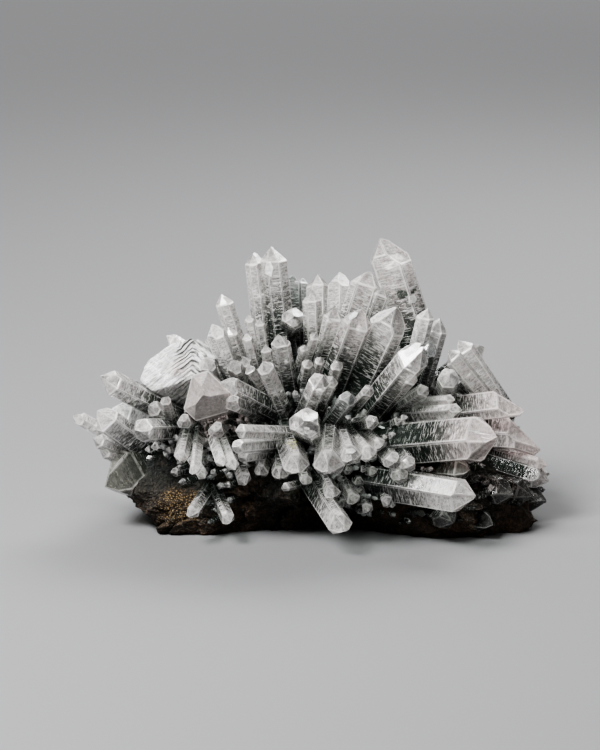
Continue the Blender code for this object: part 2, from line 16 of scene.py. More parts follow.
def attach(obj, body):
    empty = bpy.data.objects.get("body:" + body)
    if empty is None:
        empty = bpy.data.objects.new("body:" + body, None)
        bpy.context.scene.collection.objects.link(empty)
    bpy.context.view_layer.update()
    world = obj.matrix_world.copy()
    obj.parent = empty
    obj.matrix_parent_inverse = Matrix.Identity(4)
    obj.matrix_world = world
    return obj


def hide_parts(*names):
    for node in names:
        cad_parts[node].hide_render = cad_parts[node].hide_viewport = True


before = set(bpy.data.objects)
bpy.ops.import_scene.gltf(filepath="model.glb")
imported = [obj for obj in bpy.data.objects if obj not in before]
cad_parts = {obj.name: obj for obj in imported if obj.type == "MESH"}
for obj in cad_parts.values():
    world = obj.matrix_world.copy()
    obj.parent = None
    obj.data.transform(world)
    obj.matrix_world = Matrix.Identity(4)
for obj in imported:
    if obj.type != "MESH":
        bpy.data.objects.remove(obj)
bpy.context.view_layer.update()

MM = 0.001

# The front view in which the tables give a point's ends: across and up on a plane through VIEW_CENTRE
VIEW_CENTRE = np.array([-4.4, 0.0, 44.0])
VIEW_DISTANCE = 900.0
VIEW_RISE = math.radians(14.0)
AHEAD = np.array([0.0, math.cos(VIEW_RISE), -math.sin(VIEW_RISE)])
UPWARD = np.array([0.0, math.sin(VIEW_RISE), math.cos(VIEW_RISE)])
# The picture shows this much of that plane along its longer side
VIEW_HEIGHT = 225.0
SENSOR = 36.0

# The part's origin in the space of the tables: on the resting surface, under the middle of its box
ORIGIN = np.array([-0.9, 5.4, 0.0])
# Angle between the axis and the faces of a point
POINT_ANGLE = math.radians(38.2)
SIDES = 6

ROCK_CENTRE = np.array([-3.0, 3.0, 13.0]) - ORIGIN
ROCK_LEFT, ROCK_RIGHT = 53.0, 60.0
ROCK_FRONT, ROCK_BACK = 28.0, 36.0
ROCK_UP, ROCK_DOWN = 31.0, 21.0
ROCK_SQUARENESS = 2.3
ROCK_UNDERCUT_LEFT, ROCK_UNDERCUT_FRONT = 13.0, 9.0
ROCK_BLOCK_SIZE, ROCK_BLOCK_HEIGHT, ROCK_RELIEF = 13.0, 4.2, 1.6
ROCK_LUMPS = (
    ((0.98, -0.18, -0.16), 11.0, 0.34), ((0.88, 0.40, -0.15), 5.0, 0.34), ((0.86, -0.46, -0.20), 13.0, 0.30),
    ((0.98, 0.05, 0.18), 8.0, 0.25), ((-0.86, -0.44, -0.26), 13.0, 0.30), ((-0.62, -0.70, -0.36), 4.0, 0.26),
    ((-0.97, -0.20, 0.10), 4.0, 0.28), ((-0.70, -0.70, -0.02), -6.0, 0.20), ((0.25, -0.92, -0.20), -3.0, 0.30),
    ((0.20, 0.15, 0.95), 3.5, 0.40), ((-0.55, 0.05, 0.85), -3.0, 0.40), ((-0.60, 0.75, -0.20), -3.5, 0.30),
    ((0.05, 0.95, -0.20), 5.0, 0.30),
)

# How much lower the bare rock is than the construction's, and hollows at a place, with depth and width
ROCK_BARED = 3.0
ROCK_HOLLOWS = (
    ((22.0, -13.0, -18.0), 6.0, 0.22), ((32.0, -11.0, -16.0), 5.0, 0.20), ((17.0, 0.0, -16.0), 4.0, 0.22),
    ((-37.0, -30.0, -22.0), 4.0, 0.16), ((62.0, -17.0, -10.0), 8.0, 0.22), ((69.0, -24.0, -8.0), 7.0, 0.20),
)
# Where the small points of the gaps and the druse fan out from
GAP_FAN, DRUSE_FAN = np.array([0.0, -4.0, 16.0]), np.array([2.0, -6.0, 20.0])
GOLDEN_ANGLE = 2.399963
# Place between a side's edges and height above the prism's end, where neither edge shows its painted highlight
PLAIN_FACET = (0.0, -6.0, 0.0)

# Points by the piece that they form: tip and root, each as across, up and depth, then the width, the share of
# the bare length that chlorite clouds from the root, how milky and how rosy the rest is, and the tip's shift
PIECES = {
    "tall_left_pair": ("clear", [(-13.8, 36.9, 9.5, -9.8, 2, 5, 5.8, 0.3, 0.35, 0),
        (-8.7, 38.7, 8, -4.6, 2, 4, 7.4, 0.5, 0.3, 0, -0.12, 0)]),
    "tall_right": ("clear", [(24, 41.1, 14, 35.5, 4, 9, 11.1, 0.35, 0.35, 0.25, -0.25, 0)]),
    "great_point": ("rosy", [(59.1, -18.6, -30, 20, -22, -8, 12, 0.5, 0.8, 0.55, 0, 0.05)]),
    "low_point": ("clear", [(52.8, -36.3, -40, 8, -29, -14, 9, 0.35, 0.45, 0, 0, 0.15)]),
    "fan_wide": ("clear", [(29.1, 20.4, -10, 13, -14, -2, 9.6, 0.42, 0.35, 0.1)]),
    "fan_upper": ("clear", [(18.6, 19.8, -13, 8, -8, -3, 8.1, 0.42, 0.4, 0.3, 0.05, 0),
        (10.5, 20.4, -5, 5, -4, -2, 5.4, 0.4, 0.4, 0.1),
        (9, 17.1, -9, 3, -2, -4, 1.8, 0.35, 0.6, 0)]),
    "fan_low": ("clear", [(37.2, 8.4, -20, 19, -14, -4, 9, 0.4, 0.45, 0.1, 0.1, 0.1),
        (34.5, 0.6, -20, 21, -14, -4, 4.6, 0.4, 0.5, 0),
        (38.5, -3.6, -18, 23, -14, -3, 4, 0.35, 0.5, 0)]),
    "rosette_hex": ("clear", [(1.2, -13.8, -45, 3, -18, -18, 8, 0.3, 0.6, 0, 0, -0.05)]),
    "rosette_down": ("clear", [(8.4, -28.8, -44, 10, -14, -16, 8.1, 0.4, 0.45, 0.1),
        (15.6, -25.5, -42, 12, -15, -16, 6, 0.4, 0.55, 0),
        (21.6, -24.6, -38, 14, -16, -16, 4.8, 0.4, 0.45, 0),
        (24.6, -21.3, -34, 17, -16, -14, 3.6, 0.4, 0.4, 0),
        (22.2, -14.1, -34, 17, -15, -12, 3.8, 0.6, 0.3, 0)]),
    "rosette_up": ("clear", [(6.9, 0, -34, 1, -14, -18, 6, 0.45, 0.4, 0.1),
        (9.9, -0.4, -29, 4, -14, -17, 4.2, 0.5, 0.35, 0.1)]),
    "rosette_up_right": ("green", [(15.3, -5.7, -36, 6, -18, -18, 4.2, 0.6, 0.3, 0)]),
    "rosette_green": ("clear", [(-0.3, -29.1, -38, -5, -15, -14, 6.9, 0.5, 0.5, 0)]),
    "left_arm": ("clear", [(-19.5, -16.8, -37, 5, -17.6, -18, 3.9, 0.3, 0.7, 0)]),
    "left_arm_low": ("milky", [(-20.4, -21.6, -34, -2, -20, -14, 3.9, 0.25, 0.8, 0),
        (-18.6, -24.6, -31, -3, -22.5, -13, 3.4, 0.35, 0.5, 0)]),
    "down_point": ("clear", [(13.8, -46.8, -44, 0, -26, -12, 6.6, 0.4, 0.55, 0, 0.1, 0)]),
    "left_rosette_up": ("clear", [(-11.1, 4.2, -26, -2, -17, -14, 4.8, 0.35, 0.6, 0)]),
    "left_rosette_wide": ("clear", [(-24, -2.4, -25, -4, -13, -12, 6.3, 0.45, 0.4, 0)]),
    "centre_upright": ("clear", [(-6.6, 12.3, -14, -3, -8, -6, 5.1, 0.4, 0.55, 0, -0.1, 0)]),
    "crown_bright": ("clear", [(3.6, 25.5, 6, 4.5, 0, 3, 5.4, 0.35, 0.65, 0)]),
    "crown_front_stub": ("clear", [(-1.8, 17.7, -12, -3.4, 14, 8, 5.8, 0.4, 0.6, 0)]),
    "crown_back_left": ("green", [(-2.1, 30, 20, -1.5, 4, 9, 4.2, 0.6, 0.25, 0),
        (0.9, 29.1, 20.5, 0.8, 4, 9.5, 3.2, 0.5, 0.3, 0)]),
    "crown_blunt": ("clear", [(5.4, 30.3, 19, 6, 4, 8, 6.6, 0.35, 0.45, 0)]),
    "crown_right": ("clear", [(12, 30.9, 18, 11, 4, 8, 6.3, 0.35, 0.45, 0)]),
    "crown_leaning": ("clear", [(21, 31.2, 10, 12, 4, 4, 7.8, 0.4, 0.35, 0.2, 0.1, 0),
        (24.9, 26.4, 8, 16.5, 4, 4, 4.6, 0.55, 0.3, 0)]),
    "shoulder_sparkle": ("milky", [(38.4, 20.1, 3, 32, -6, 2, 5, 0.3, 0.6, 0),
        (42, 17.1, 7, 34.5, -8, 4, 7.2, 0.4, 0.5, 0, 0.12, 0)]),
    "green_pocket": ("green", [(39.3, 10.2, -6, 32, -12, 0, 5.1, 0.85, 0.1, 0)]),
    "right_slope": ("clear", [(47.6, 10.4, 1, 63, -12.5, 6, 5.8, 0.1, 0.6, 0, 0.1, 0),
        (44.6, 7.6, -3, 61, -13, 4, 5, 0.25, 0.5, 0, 0.2, 0)]),
    "right_stub": ("milky", [(45, 0.6, -12, 43, -8, 4, 6, 0.4, 0.7, 0)]),
    "right_twin": ("clear", [(46.5, -7.3, -17.5, 22, -9.5, -3, 3.2, 0.3, 0.6, 0),
        (48.6, -10.6, -19, 22, -12.3, -4, 4.4, 0.3, 0.65, 0)]),
    "right_shelf": ("rosy", [(67.2, -10.9, -8, 26, -16, -2, 8.4, 0.4, 0.55, 0.25, -0.6, 0)]),
    "right_back_point": ("rosy", [(72.3, -22.5, -6, 40, -20, 0, 10.4, 0.2, 0.8, 0.3, -0.7, 0),
        (74.1, -27.3, -8, 44, -19, -1, 4.2, 0.3, 0.65, 0.2)]),
    "right_blade": ("clear", [(74.7, -31.8, -9, 46, -23, -2, 6.6, 0.5, 0.45, 0)]),
    "grey_stub": ("smoky", [(51, -28.5, -28, 32, -27, -8, 6.4, 0.55, 0.15, 0.1)]),
    "left_tower": ("clear", [(-23.7, 24.3, 2, -14, -6, 1, 5.1, 0.35, 0.55, 0, -0.1, 0),
        (-21.6, 14.4, -2, -14, -6, -1, 4, 0.4, 0.45, 0)]),
    "left_blunt": ("milky", [(-26.4, 15.3, -4, -17, -8, -3, 5.6, 0.3, 0.75, 0)]),
    "rosy_point": ("rosy", [(-29.1, -6, -32, -25, -8, -6, 13, 0.4, 0.3, 0.75)]),
    "left_long": ("clear", [(-60, -0.3, -16, -32, -14, -4, 6.9, 0.5, 0.45, 0.1, -0.1, 0.15),
        (-45.5, -9.5, -20, -32, -15, -5, 4.4, 0.4, 0.6, 0)]),
    "left_small": ("clear", [(-68.1, -12, -10, -44, -25, -2, 4.2, 0.35, 0.85, 0)]),
    "left_broad": ("milky", [(-60.9, -10.8, -16, -40, -26, -4, 7.2, 0.35, 0.85, 0.1, 0, 0.1)]),
    "left_low": ("clear", [(-62.1, -18.9, -14, -44, -27, -2, 4.2, 0.35, 0.65, 0),
        (-60, -22.8, -13, -43, -28, -2, 3.4, 0.35, 0.65, 0)]),
    "milky_tip": ("milky", [(-49.5, -16.5, -28, -34, -16, -6, 6.2, 0.45, 0.75, 0.2)]),
    "left_down_point": ("clear", [(-31.8, -29.7, -35, -30, -14, -12, 3.2, 0.3, 0.75, 0)]),
    "diagonal_points": ("milky", [(-19.5, -28.5, -33, -26, -12, -12, 3.8, 0.4, 0.45, 0),
        (-23, -27.4, -33.5, -28, -12, -12, 3.4, 0.45, 0.45, 0)]),
    "smoky_block": ("smoky", [(-58.5, -33.5, -16, -40, -24, 2, 14, 0.2, 0.15, 0, 0.1, -0.2)]),
}

# Small points that grow straight from the rock: tip, root and width
ROCK_POINTS = (
    (-33, -42.3, -34, -26, -32, -14, 3.6), (-21, -44.4, -33, -27, -32, -14, 3.8),
    (-16.2, -33, -31, -22, -18, -12, 4.4), (-28.5, -31, -30, -37, -18, -12, 3.4),
    (-36, -26, -30, -33, -14, -12, 4), (-40.5, -6.6, -22, -37, -20, -8, 3), (-35, -14, -30, -32, -14, -8, 4),
    (-25.5, -17, -33, -22, -14, -10, 4.4), (-21.6, -8, -30, -10, -13, -10, 4.6),
    (-20.5, 4, -16, -14, -8, -4, 4.4), (-17, 5.5, -12, -12, -8, -4, 3.4), (-15.6, 18, 3, -11, -4, 2, 2.8),
    (-16.2, 12.6, -3, -11, -6, -1, 3), (-12.3, 16.8, 0, -9, -4, 1, 2.8), (-10.5, 9, -7, -7, -8, -3, 3),
    (-15.9, 2.7, -20, -5, -12, -8, 3), (4.8, 12.6, -9, -2, -6, -2, 2.8), (1.5, 9, -10, -3, -6, -3, 2.4),
    (2.6, 4.6, -15, 0, -8, -4, 3.2), (6.3, 5.4, -14, 3, -7, -3, 2.8), (11.5, 4, -20, 8, -8, -6, 3.4),
    (21, -4, -24, 14, -12, -6, 3.6), (28.2, -26.4, -38, 24, -22, -12, 4.8),
    (32.8, -27.4, -36, 29, -22, -12, 4.4), (30.3, -31.2, -35, 27, -24, -12, 4.6),
    (2.1, -32.7, -33, -1, -21, -12, 3.2), (-6, -31, -31, -6, -20, -12, 4.4), (-12, -30, -30, -9, -20, -12, 3.8),
    (-5.1, -33.9, -33, 6, -31, -14, 2.4), (10.5, -36.5, -36, 4, -26, -14, 4.4),
    (16.5, -38.5, -34, 11, -26, -14, 3.8), (20.4, -41, -33, 18, -32, -14, 3.2),
    (26.4, -39, -33, 24, -30, -14, 3.4), (-56.5, -10, -11, -38, -15, -2, 8), (70, -36.5, -18, 46, -30, -4, 7),
    (64, -36, -26, 42, -30, -6, 7), (74, -38, -7, 48, -33, 4, 9), (46, -44.5, -32, 32, -34, -8, 7),
    (66, -19, 14, 42, -24, 8, 6.6), (60, -9.5, 17, 40, -20, 8, 6.4), (70, -30, 15, 44, -30, 8, 6),
    (54, -1, 20, 38, -16, 10, 6), (58, -45, -26, 40, -36, -4, 8),
)
ROCK_POINT_LOOK = (0.45, 0.45, 0.0)

# Milky block on the left, a convex lump: its corners as (across, up, depth), and its two knobs
SNOW_BLOCK = (
    (-48.3, -1.5, -9.0), (-46.2, 4.2, -7.0), (-42.3, 6.9, -5.0), (-38.5, 9.6, -2.0), (-33.0, 11.1, 0.0),
    (-28.0, 10.2, 1.0), (-24.0, 5.5, -5.0), (-30.0, 0.5, -13.0), (-38.0, -3.0, -15.0), (-45.0, -5.0, -12.0),
    (-45.0, -3.0, 4.0), (-41.0, 6.5, 6.0), (-32.0, 10.3, 8.0), (-24.0, 5.0, 8.0), (-30.0, -12.0, -2.0),
)
SNOW_KNOBS = (
    (-40.2, 11.7, 6, -28, 4, 4, 3.8), (-28.4, 4.6, -14, -24, -6, 2, 4.8),
)

# Rows of points at the back: rise, first and last heading in degrees, number, reach and width
BACK_ROWS = (
    (3.0, 30.0, 152.0, 7, 11.0, 7.0),
    (21.0, 24.0, 160.0, 8, 15.0, 8.4),
    (39.0, 46.0, 150.0, 7, 16.0, 9.0),
    (58.0, 36.0, 130.0, 5, 13.0, 8.0),
)
BACK_ROOT_SHARE = 0.45
BACK_PIECES = 13
BACK_LOOK = (0.40, 0.40, 0.05)


def unit(vectors):
    """Vectors at length one."""
    return vectors / np.linalg.norm(vectors, axis=-1, keepdims=True)


def seen(marks):
    """Points at a depth on the sight lines that meet the front view's plane at across and up."""
    across, up, depth = np.asarray(marks, float).reshape(-1, 3).T
    eye = VIEW_CENTRE - AHEAD * VIEW_DISTANCE
    ray = AHEAD * VIEW_DISTANCE + np.outer(across, (1.0, 0.0, 0.0)) + np.outer(up, UPWARD)
    return eye + ray * ((depth - eye[1]) / ray[:, 1])[:, None] - ORIGIN


def marks_of(places):
    """Across and up, in the front view's plane, of places in space."""
    ray = places + ORIGIN - (VIEW_CENTRE - AHEAD * VIEW_DISTANCE)
    scale = VIEW_DISTANCE / (ray @ AHEAD)
    return np.stack([ray[:, 0] * scale, (ray @ UPWARD) * scale], axis=1)


def wobble(seed, step):
    """Even spread between -1 and 1 that depends on two counts alone."""
    return np.sin(np.asarray(seed, float) * 12.9898 + step * 78.233)


def scattered(cells, salt):
    """Even spread between 0 and 1 over whole-number cells: the fraction of a large sine of their sum."""
    return np.modf(np.abs(np.sin(cells @ np.array([12.9898, 78.233, 37.719]) + salt)) * 43758.5453)[0]


def chance(seed, step):
    """Even, unordered spread between -1 and 1 that depends on two counts alone."""
    seed, step = np.broadcast_arrays(np.asarray(seed, float), np.asarray(step, float))
    return 2.0 * scattered(np.stack([seed, 0.37 * seed + step, step], axis=-1), 1.7) - 1.0


def chances(seed, step):
    """Three such spreads side by side."""
    return np.stack([chance(seed, step + count) for count in range(3)], axis=1)


def odds(seed, step):
    """The same spread between 0 and 1."""
    return 0.5 + 0.5 * chance(seed, step)


def blocks(places, salt):
    """Height of angular blocks: each place takes the value of the nearest of the cells' scattered seats."""
    near, value = np.full(len(places), np.inf), np.zeros(len(places))
    for step in itertools.product((-1.0, 0.0, 1.0), repeat=3):
        cell = np.floor(places) + step
        seat = cell + np.stack([scattered(cell, salt + axis) for axis in (1, 2, 3)], axis=1)
        gap = ((places - seat) ** 2).sum(axis=1)
        value = np.where(gap < near, scattered(cell, salt + 4), value)
        near = np.minimum(gap, near)
    return value - 0.5


def swells(places, salt):
    """Smooth noise between -1 and 1: values of the eight corners of each cell, blended with eased weights."""
    cell = np.floor(places)
    part = places - cell
    ease = part * part * (3.0 - 2.0 * part)
    total = np.zeros(len(places))
    for corner in itertools.product((0.0, 1.0), repeat=3):
        weight = np.where(np.array(corner) > 0.5, ease, 1.0 - ease).prod(axis=1)
        total += weight * scattered(cell + corner, salt)
    return 2.0 * total - 1.0


def rock_reach(directions):
    """Distances from the middle of the rock to its surface: a squarish block with lumps, pits and breaks."""
    x, y, z = directions.T
    under = np.clip(-3.0 * z, 0.0, 1.0)
    half = np.stack([
        np.where(x > 0.0, ROCK_RIGHT, ROCK_LEFT - ROCK_UNDERCUT_LEFT * under),
        np.where(y > 0.0, ROCK_BACK, ROCK_FRONT - ROCK_UNDERCUT_FRONT * under),
        np.where(z > 0.0, ROCK_UP, ROCK_DOWN),
    ], axis=1)
    reach = (np.abs(directions / half) ** ROCK_SQUARENESS).sum(axis=1) ** (-1.0 / ROCK_SQUARENESS)
    for lump, height, width in ROCK_LUMPS:
        toward = np.array(lump) / np.linalg.norm(lump)
        angle = np.arccos(np.clip(directions @ toward, -1.0, 1.0))
        reach += height * np.exp(-((angle / width) ** 2))
    places = directions * reach[:, None] / ROCK_BLOCK_SIZE
    return reach + ROCK_BLOCK_HEIGHT * blocks(places, 0.0) + ROCK_RELIEF * swells(places * 2.6, 9.0)


def rock_level(directions):
    """Distances to the bare rock between the points: lower than the construction's above its waist and in the
    hollows, where small crystals and flakes fill the difference."""
    ease = np.clip(directions[:, 2] * 2.5 + 0.4, 0.0, 1.0)
    reach = rock_reach(directions) - ROCK_BARED * ease
    for place, depth, width in ROCK_HOLLOWS:
        toward = unit(seen([place])[0] - ROCK_CENTRE)
        angle = np.arccos(np.clip(directions @ toward, -1.0, 1.0))
        reach -= depth * np.exp(-((angle / width) ** 2))
    return reach


# Steps along a point in which the rock's surface is looked for, the least bare length, and the steps in which
# the depth inside the chlorite cloud is told
BARE_STEPS, LEAST_BARE, CLOUD_STEPS = 60, 0.3, 20.0


class Points:
    """Many hexagonal quartz points, one array entry each: ends, width, shift of the tip, seed and look."""

    def __init__(self, tip, root, width, shift, seed, look):
        self.tip, self.width, self.seed = tip, np.asarray(width, float), np.asarray(seed, float)
        self.look = np.broadcast_to(np.asarray(look, float), (len(tip), 3))
        self.axis = unit(tip - root)
        right = np.array([1.0, 0.0, 0.0]) - self.axis * self.axis[:, :1]
        flat = np.linalg.norm(right, axis=1) < 0.3
        right[flat] = (np.array([0.0, 0.0, 1.0]) - self.axis * self.axis[:, 2:])[flat]
        self.right = unit(right)
        self.over = np.cross(self.axis, self.right)
        shift = np.broadcast_to(np.asarray(shift, float), (len(tip), 2)) * self.width[:, None]
        self.lean = shift * 0.5
        self.root = root - self.right * self.lean[:, :1] - self.over * self.lean[:, 1:]
        self.length = ((tip - root) * self.axis).sum(axis=1)
        self.exposed = np.maximum(self.bare(), LEAST_BARE)
        self.cloud = self.length - self.exposed * (1.0 - self.look[:, 0])

    def bare(self):
        """Length from the tip to where the rock begins."""
        share = np.linspace(0.0, 1.0, BARE_STEPS)
        places = self.tip[:, None] + (self.root - self.tip)[:, None] * share[:, None] - ROCK_CENTRE
        distance = np.linalg.norm(places, axis=-1)
        inside = distance.ravel() < rock_level((places / distance[..., None]).reshape(-1, 3))
        inside = inside.reshape(distance.shape)
        return self.length * np.where(inside.any(axis=1), share[inside.argmax(axis=1)], 1.0)

    def outward(self):
        """Directions of the six sides of each prism, across its axis, as (right, over)."""
        angle = (0.5 * wobble(self.seed, 1))[:, None] + math.tau * np.arange(SIDES) / SIDES
        return np.stack([np.cos(angle), np.sin(angle)], axis=-1)

    def reach(self):
        """Distance of each side from the axis."""
        sides = np.arange(SIDES)
        return self.width[:, None] / 2 * (1.0 + 0.13 * wobble(self.seed[:, None], 2 + sides))

    def setback(self):
        """How far each face of the point passes above the tip; every other face meets the tip."""
        sides = np.arange(SIDES)
        high = self.width[:, None] * (0.10 + 0.08 * wobble(self.seed[:, None], 9 + sides))
        return np.where(sides % 2 == 1, 0.0, high)

    def placed(self, across, height):
        """Space for section coordinates at heights along the axis."""
        return (self.root[:, None, None] + self.axis[:, None, None] * height[:, :, None, None]
                + self.right[:, None, None] * across[..., :1] + self.over[:, None, None] * across[..., 1:])

    def notes(self, depth, place, facet):
        """Attributes that the finishes read, from depths below the tip and places across a side. growth is the
        two and the seed; facet is the place between its edges and the height above the prism's end; habit is
        the depth inside the chlorite cloud in twentieths of the bare length, milkiness and rosiness."""
        cloud = (depth - (self.length - self.cloud)[:, None]) * (CLOUD_STEPS / self.exposed)[:, None]
        seed, milky, rosy = (np.repeat(values[:, None], depth.shape[1], axis=1) for values in (
            self.seed, self.look[:, 1], self.look[:, 2]))
        return {"growth": np.stack([depth, place, seed], axis=-1).reshape(-1, 3), "facet": facet.reshape(-1, 3),
                "habit": np.stack([cloud, milky, rosy], axis=-1).reshape(-1, 3)}


PAIRS = [(a, b) for a, b in itertools.combinations(range(SIDES), 2) if b - a != 3]


def section_corners(outward, distance):
    """Six corners of each section: of the crossings of two side lines that lie inside all six lines, the one
    farthest out between each side and the next. Where a side has run out, two corners fall together."""
    first, second = (outward[:, [pair[k] for pair in PAIRS]] for k in (0, 1))
    a, b = (distance[..., [pair[k] for pair in PAIRS]] for k in (0, 1))
    cosine = (first * second).sum(axis=-1)[:, None]
    share = 1.0 - cosine ** 2
    crossing = (first[:, None] * ((a - b * cosine) / share)[..., None]
                + second[:, None] * ((b - a * cosine) / share)[..., None])
    inside = (np.einsum("nrpk,nsk->nrps", crossing, outward) <= distance[:, :, None] + 1e-5).all(axis=-1)
    between = unit(outward + np.roll(outward, -1, axis=1))
    score = np.einsum("nrpk,nsk->nrps", crossing, between)
    score = np.where(inside[..., None], score, -np.inf)
    pick = score.argmax(axis=2)
    return np.take_along_axis(crossing, pick[..., None], axis=2)


# Steps of a point's surface: how far a terrace steps out, its height, and where plain rows lie up the prism
TAPER, TERRACE_REACH, RISER = 0.012, 6.0, 0.10
PRISM_ROWS = np.array([0.0, 0.55, 0.8, 0.93, 0.985])
END_ROWS = np.array([0.4, 0.75, 0.97])
# Place across a side: each side's own starts this far after the one before
SIDE_STRIDE = 40.0
# How close points of a surface are merged
WELD = 0.004


def point_grid(points, terraces, chamfer):
    """Surface of each point: an irregular hexagonal section carried along the axis. A side's distance is the
    lesser of the prism's, which steps out a little at each terrace towards the root, and the distance of its
    face of the point, which falls by the tangent of the point angle with height. Returns the grid, the height
    of each row, each column's place across its side, and the facet: place between its edges from -1 to 1, and
    height above the prism's end."""
    outward, reach = points.outward(), points.reach()
    slope = math.tan(POINT_ANGLE)
    lead = (outward * points.lean[:, None]).sum(axis=-1) + (points.length[:, None] + points.setback()) * slope
    turn_off = (lead - reach) / slope
    low = np.clip(turn_off.min(axis=1), 0.5, None)

    salt = np.arange(terraces)
    ledge = np.sort(0.5 + 0.5 * wobble(points.seed[:, None], 20 + salt), axis=1) * 0.96 * low[:, None]
    bite = wobble(points.seed[:, None, None] + 3.1 * salt[None, :, None], 50 + np.arange(SIDES)).clip(0.0, 1.0)

    def distances(height):
        below = (height[:, :, None] < ledge[:, None] + RISER / 2).astype(float)
        swell = 1.0 + TAPER * np.einsum("nrt,nts->nrs", below, bite) / terraces * TERRACE_REACH
        return np.minimum(reach[:, None] * swell, lead[:, None] - height[:, :, None] * slope)

    near_tip = np.sort(turn_off, axis=1)
    knots = np.concatenate([near_tip, points.length[:, None]], axis=1)
    far = distances(knots)
    spare = np.roll(far, 1, axis=2) + np.roll(far, -1, axis=2) - far
    falls = (spare[:, :-1] > 0) & (spare[:, 1:] <= 0)
    share = np.where(falls, spare[:, :-1] / np.where(falls, spare[:, :-1] - spare[:, 1:], 1.0), 0.0)
    crossing = knots[:, :-1, None] + (knots[:, 1:] - knots[:, :-1])[:, :, None] * share
    run_out = np.where(falls, crossing, 0.0).max(axis=1)

    rise = points.length - near_tip[:, -1]
    parts = [low[:, None] * PRISM_ROWS, near_tip, run_out, ledge, ledge + RISER,
             near_tip[:, -1:] + rise[:, None] * END_ROWS]
    heights = np.sort(np.clip(np.concatenate(parts, axis=1), 0.0, (points.length - 0.02)[:, None]), axis=1)

    corners = section_corners(outward, distances(heights))
    start, end = np.roll(corners, 1, axis=2), corners
    if chamfer:
        run = np.linalg.norm(end - start, axis=-1, keepdims=True)
        inset = np.minimum(chamfer / np.maximum(run, 1e-6), 0.38)
        ring = np.stack([start + (end - start) * inset, end - (end - start) * inset], axis=3)
    else:
        ring = end[:, :, :, None]
    across = ring.reshape(*heights.shape, -1, 2)
    side = np.repeat(np.arange(SIDES), ring.shape[3])
    tangent = np.stack([-outward[..., 1], outward[..., 0]], axis=-1)[:, side]
    along_side = (across * tangent[:, None]).sum(axis=-1)
    between = np.tile([-1.0, 1.0], SIDES) if chamfer else np.zeros(SIDES)
    band = heights[:, :, None] - turn_off[:, None, side]
    facet = np.stack([np.broadcast_to(between, band.shape), band, np.zeros(band.shape)], axis=-1)
    return points.placed(across, heights), heights, along_side + SIDE_STRIDE * side, facet


def grid_faces(rows, columns):
    """Quads of a grid that closes round, and each column's number and the next one's."""
    row, column = np.meshgrid(np.arange(rows - 1), np.arange(columns), indexing="ij")
    low, high, step = row * columns, (row + 1) * columns, (column + 1) % columns
    quads = np.stack([low + column, low + step, high + step, high + column], axis=-1).reshape(-1, 4)
    return quads, np.arange(columns), (np.arange(columns) + 1) % columns


def copied(groups, count, block):
    """Faces of a form for each of its copies, whose vertices follow each other in blocks."""
    shift = (np.arange(count) * block)[:, None, None]
    return [(group[None] + shift).reshape(-1, group.shape[-1]) for group in groups]


def solid_of(points, terraces, chamfer):
    """Closed meshes of points: vertices, faces and the attributes that the finishes read."""
    grid, heights, place, facet = point_grid(points, terraces, chamfer)
    count, rows, columns = grid.shape[:3]
    vertices = np.concatenate([grid.reshape(count, -1, 3), points.tip[:, None], points.root[:, None]], axis=1)
    depth = np.concatenate([np.repeat(points.length[:, None] - heights, columns, axis=1), np.zeros((count, 1)),
                            points.length[:, None]], axis=1)
    place = np.concatenate([place.reshape(count, -1), np.zeros((count, 2))], axis=1)
    facet = np.concatenate([facet.reshape(count, -1, 3), np.tile((0.0, 9.0, 0.0), (count, 2, 1))], axis=1)

    quads, column, after = grid_faces(rows, columns)
    last, tip = (rows - 1) * columns, rows * columns
    tips = np.stack([last + column, last + after, np.full(columns, tip)], axis=-1)
    roots = np.stack([after, column, np.full(columns, tip + 1)], axis=-1)
    faces = copied([quads, tips, roots], count, tip + 2)
    return vertices.reshape(-1, 3), faces, points.notes(depth, place, facet)


def piece(name, finish, slot, vertices, faces, notes=None, replaced=None, smooth=False, weld=WELD):
    """Object of a surface: its doubled points merged, its finish, its named attributes and the node that it
    takes the place of. The slot is not used."""
    mesh = bpy.data.meshes.new(name)
    mesh.from_pydata(vertices * MM, [], [face for group in faces for face in group.tolist()])
    for label, values in (notes or {}).items():
        layer = mesh.attributes.new(label, "FLOAT_VECTOR", "POINT")
        layer.data.foreach_set("vector", np.ascontiguousarray(values, np.float32).ravel())
    if weld:
        body = bmesh.new()
        body.from_mesh(mesh)
        bmesh.ops.remove_doubles(body, verts=body.verts[:], dist=weld * MM)
        bmesh.ops.dissolve_degenerate(body, edges=body.edges[:], dist=weld * MM * 0.1)
        body.to_mesh(mesh)
        body.free()
    mesh.polygons.foreach_set("use_smooth", [smooth] * len(mesh.polygons))
    mesh.materials.append(finish)
    mesh.update()
    item = bpy.data.objects.new(name, mesh)
    bpy.context.scene.collection.objects.link(item)
    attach(item, "root")
    if replaced:
        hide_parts(replaced)


def listed(rows, seed, look=()):
    """Points of a table's rows. A row that ends with the width takes the look that is given."""
    full = np.array([(*row, *(look if len(row) == 7 else ()), 0.0, 0.0)[:12] for row in rows])
    return Points(seen(full[:, :3]), seen(full[:, 3:6]), full[:, 6], full[:, 10:], seed + np.arange(len(rows)),
                  full[:, 7:10])


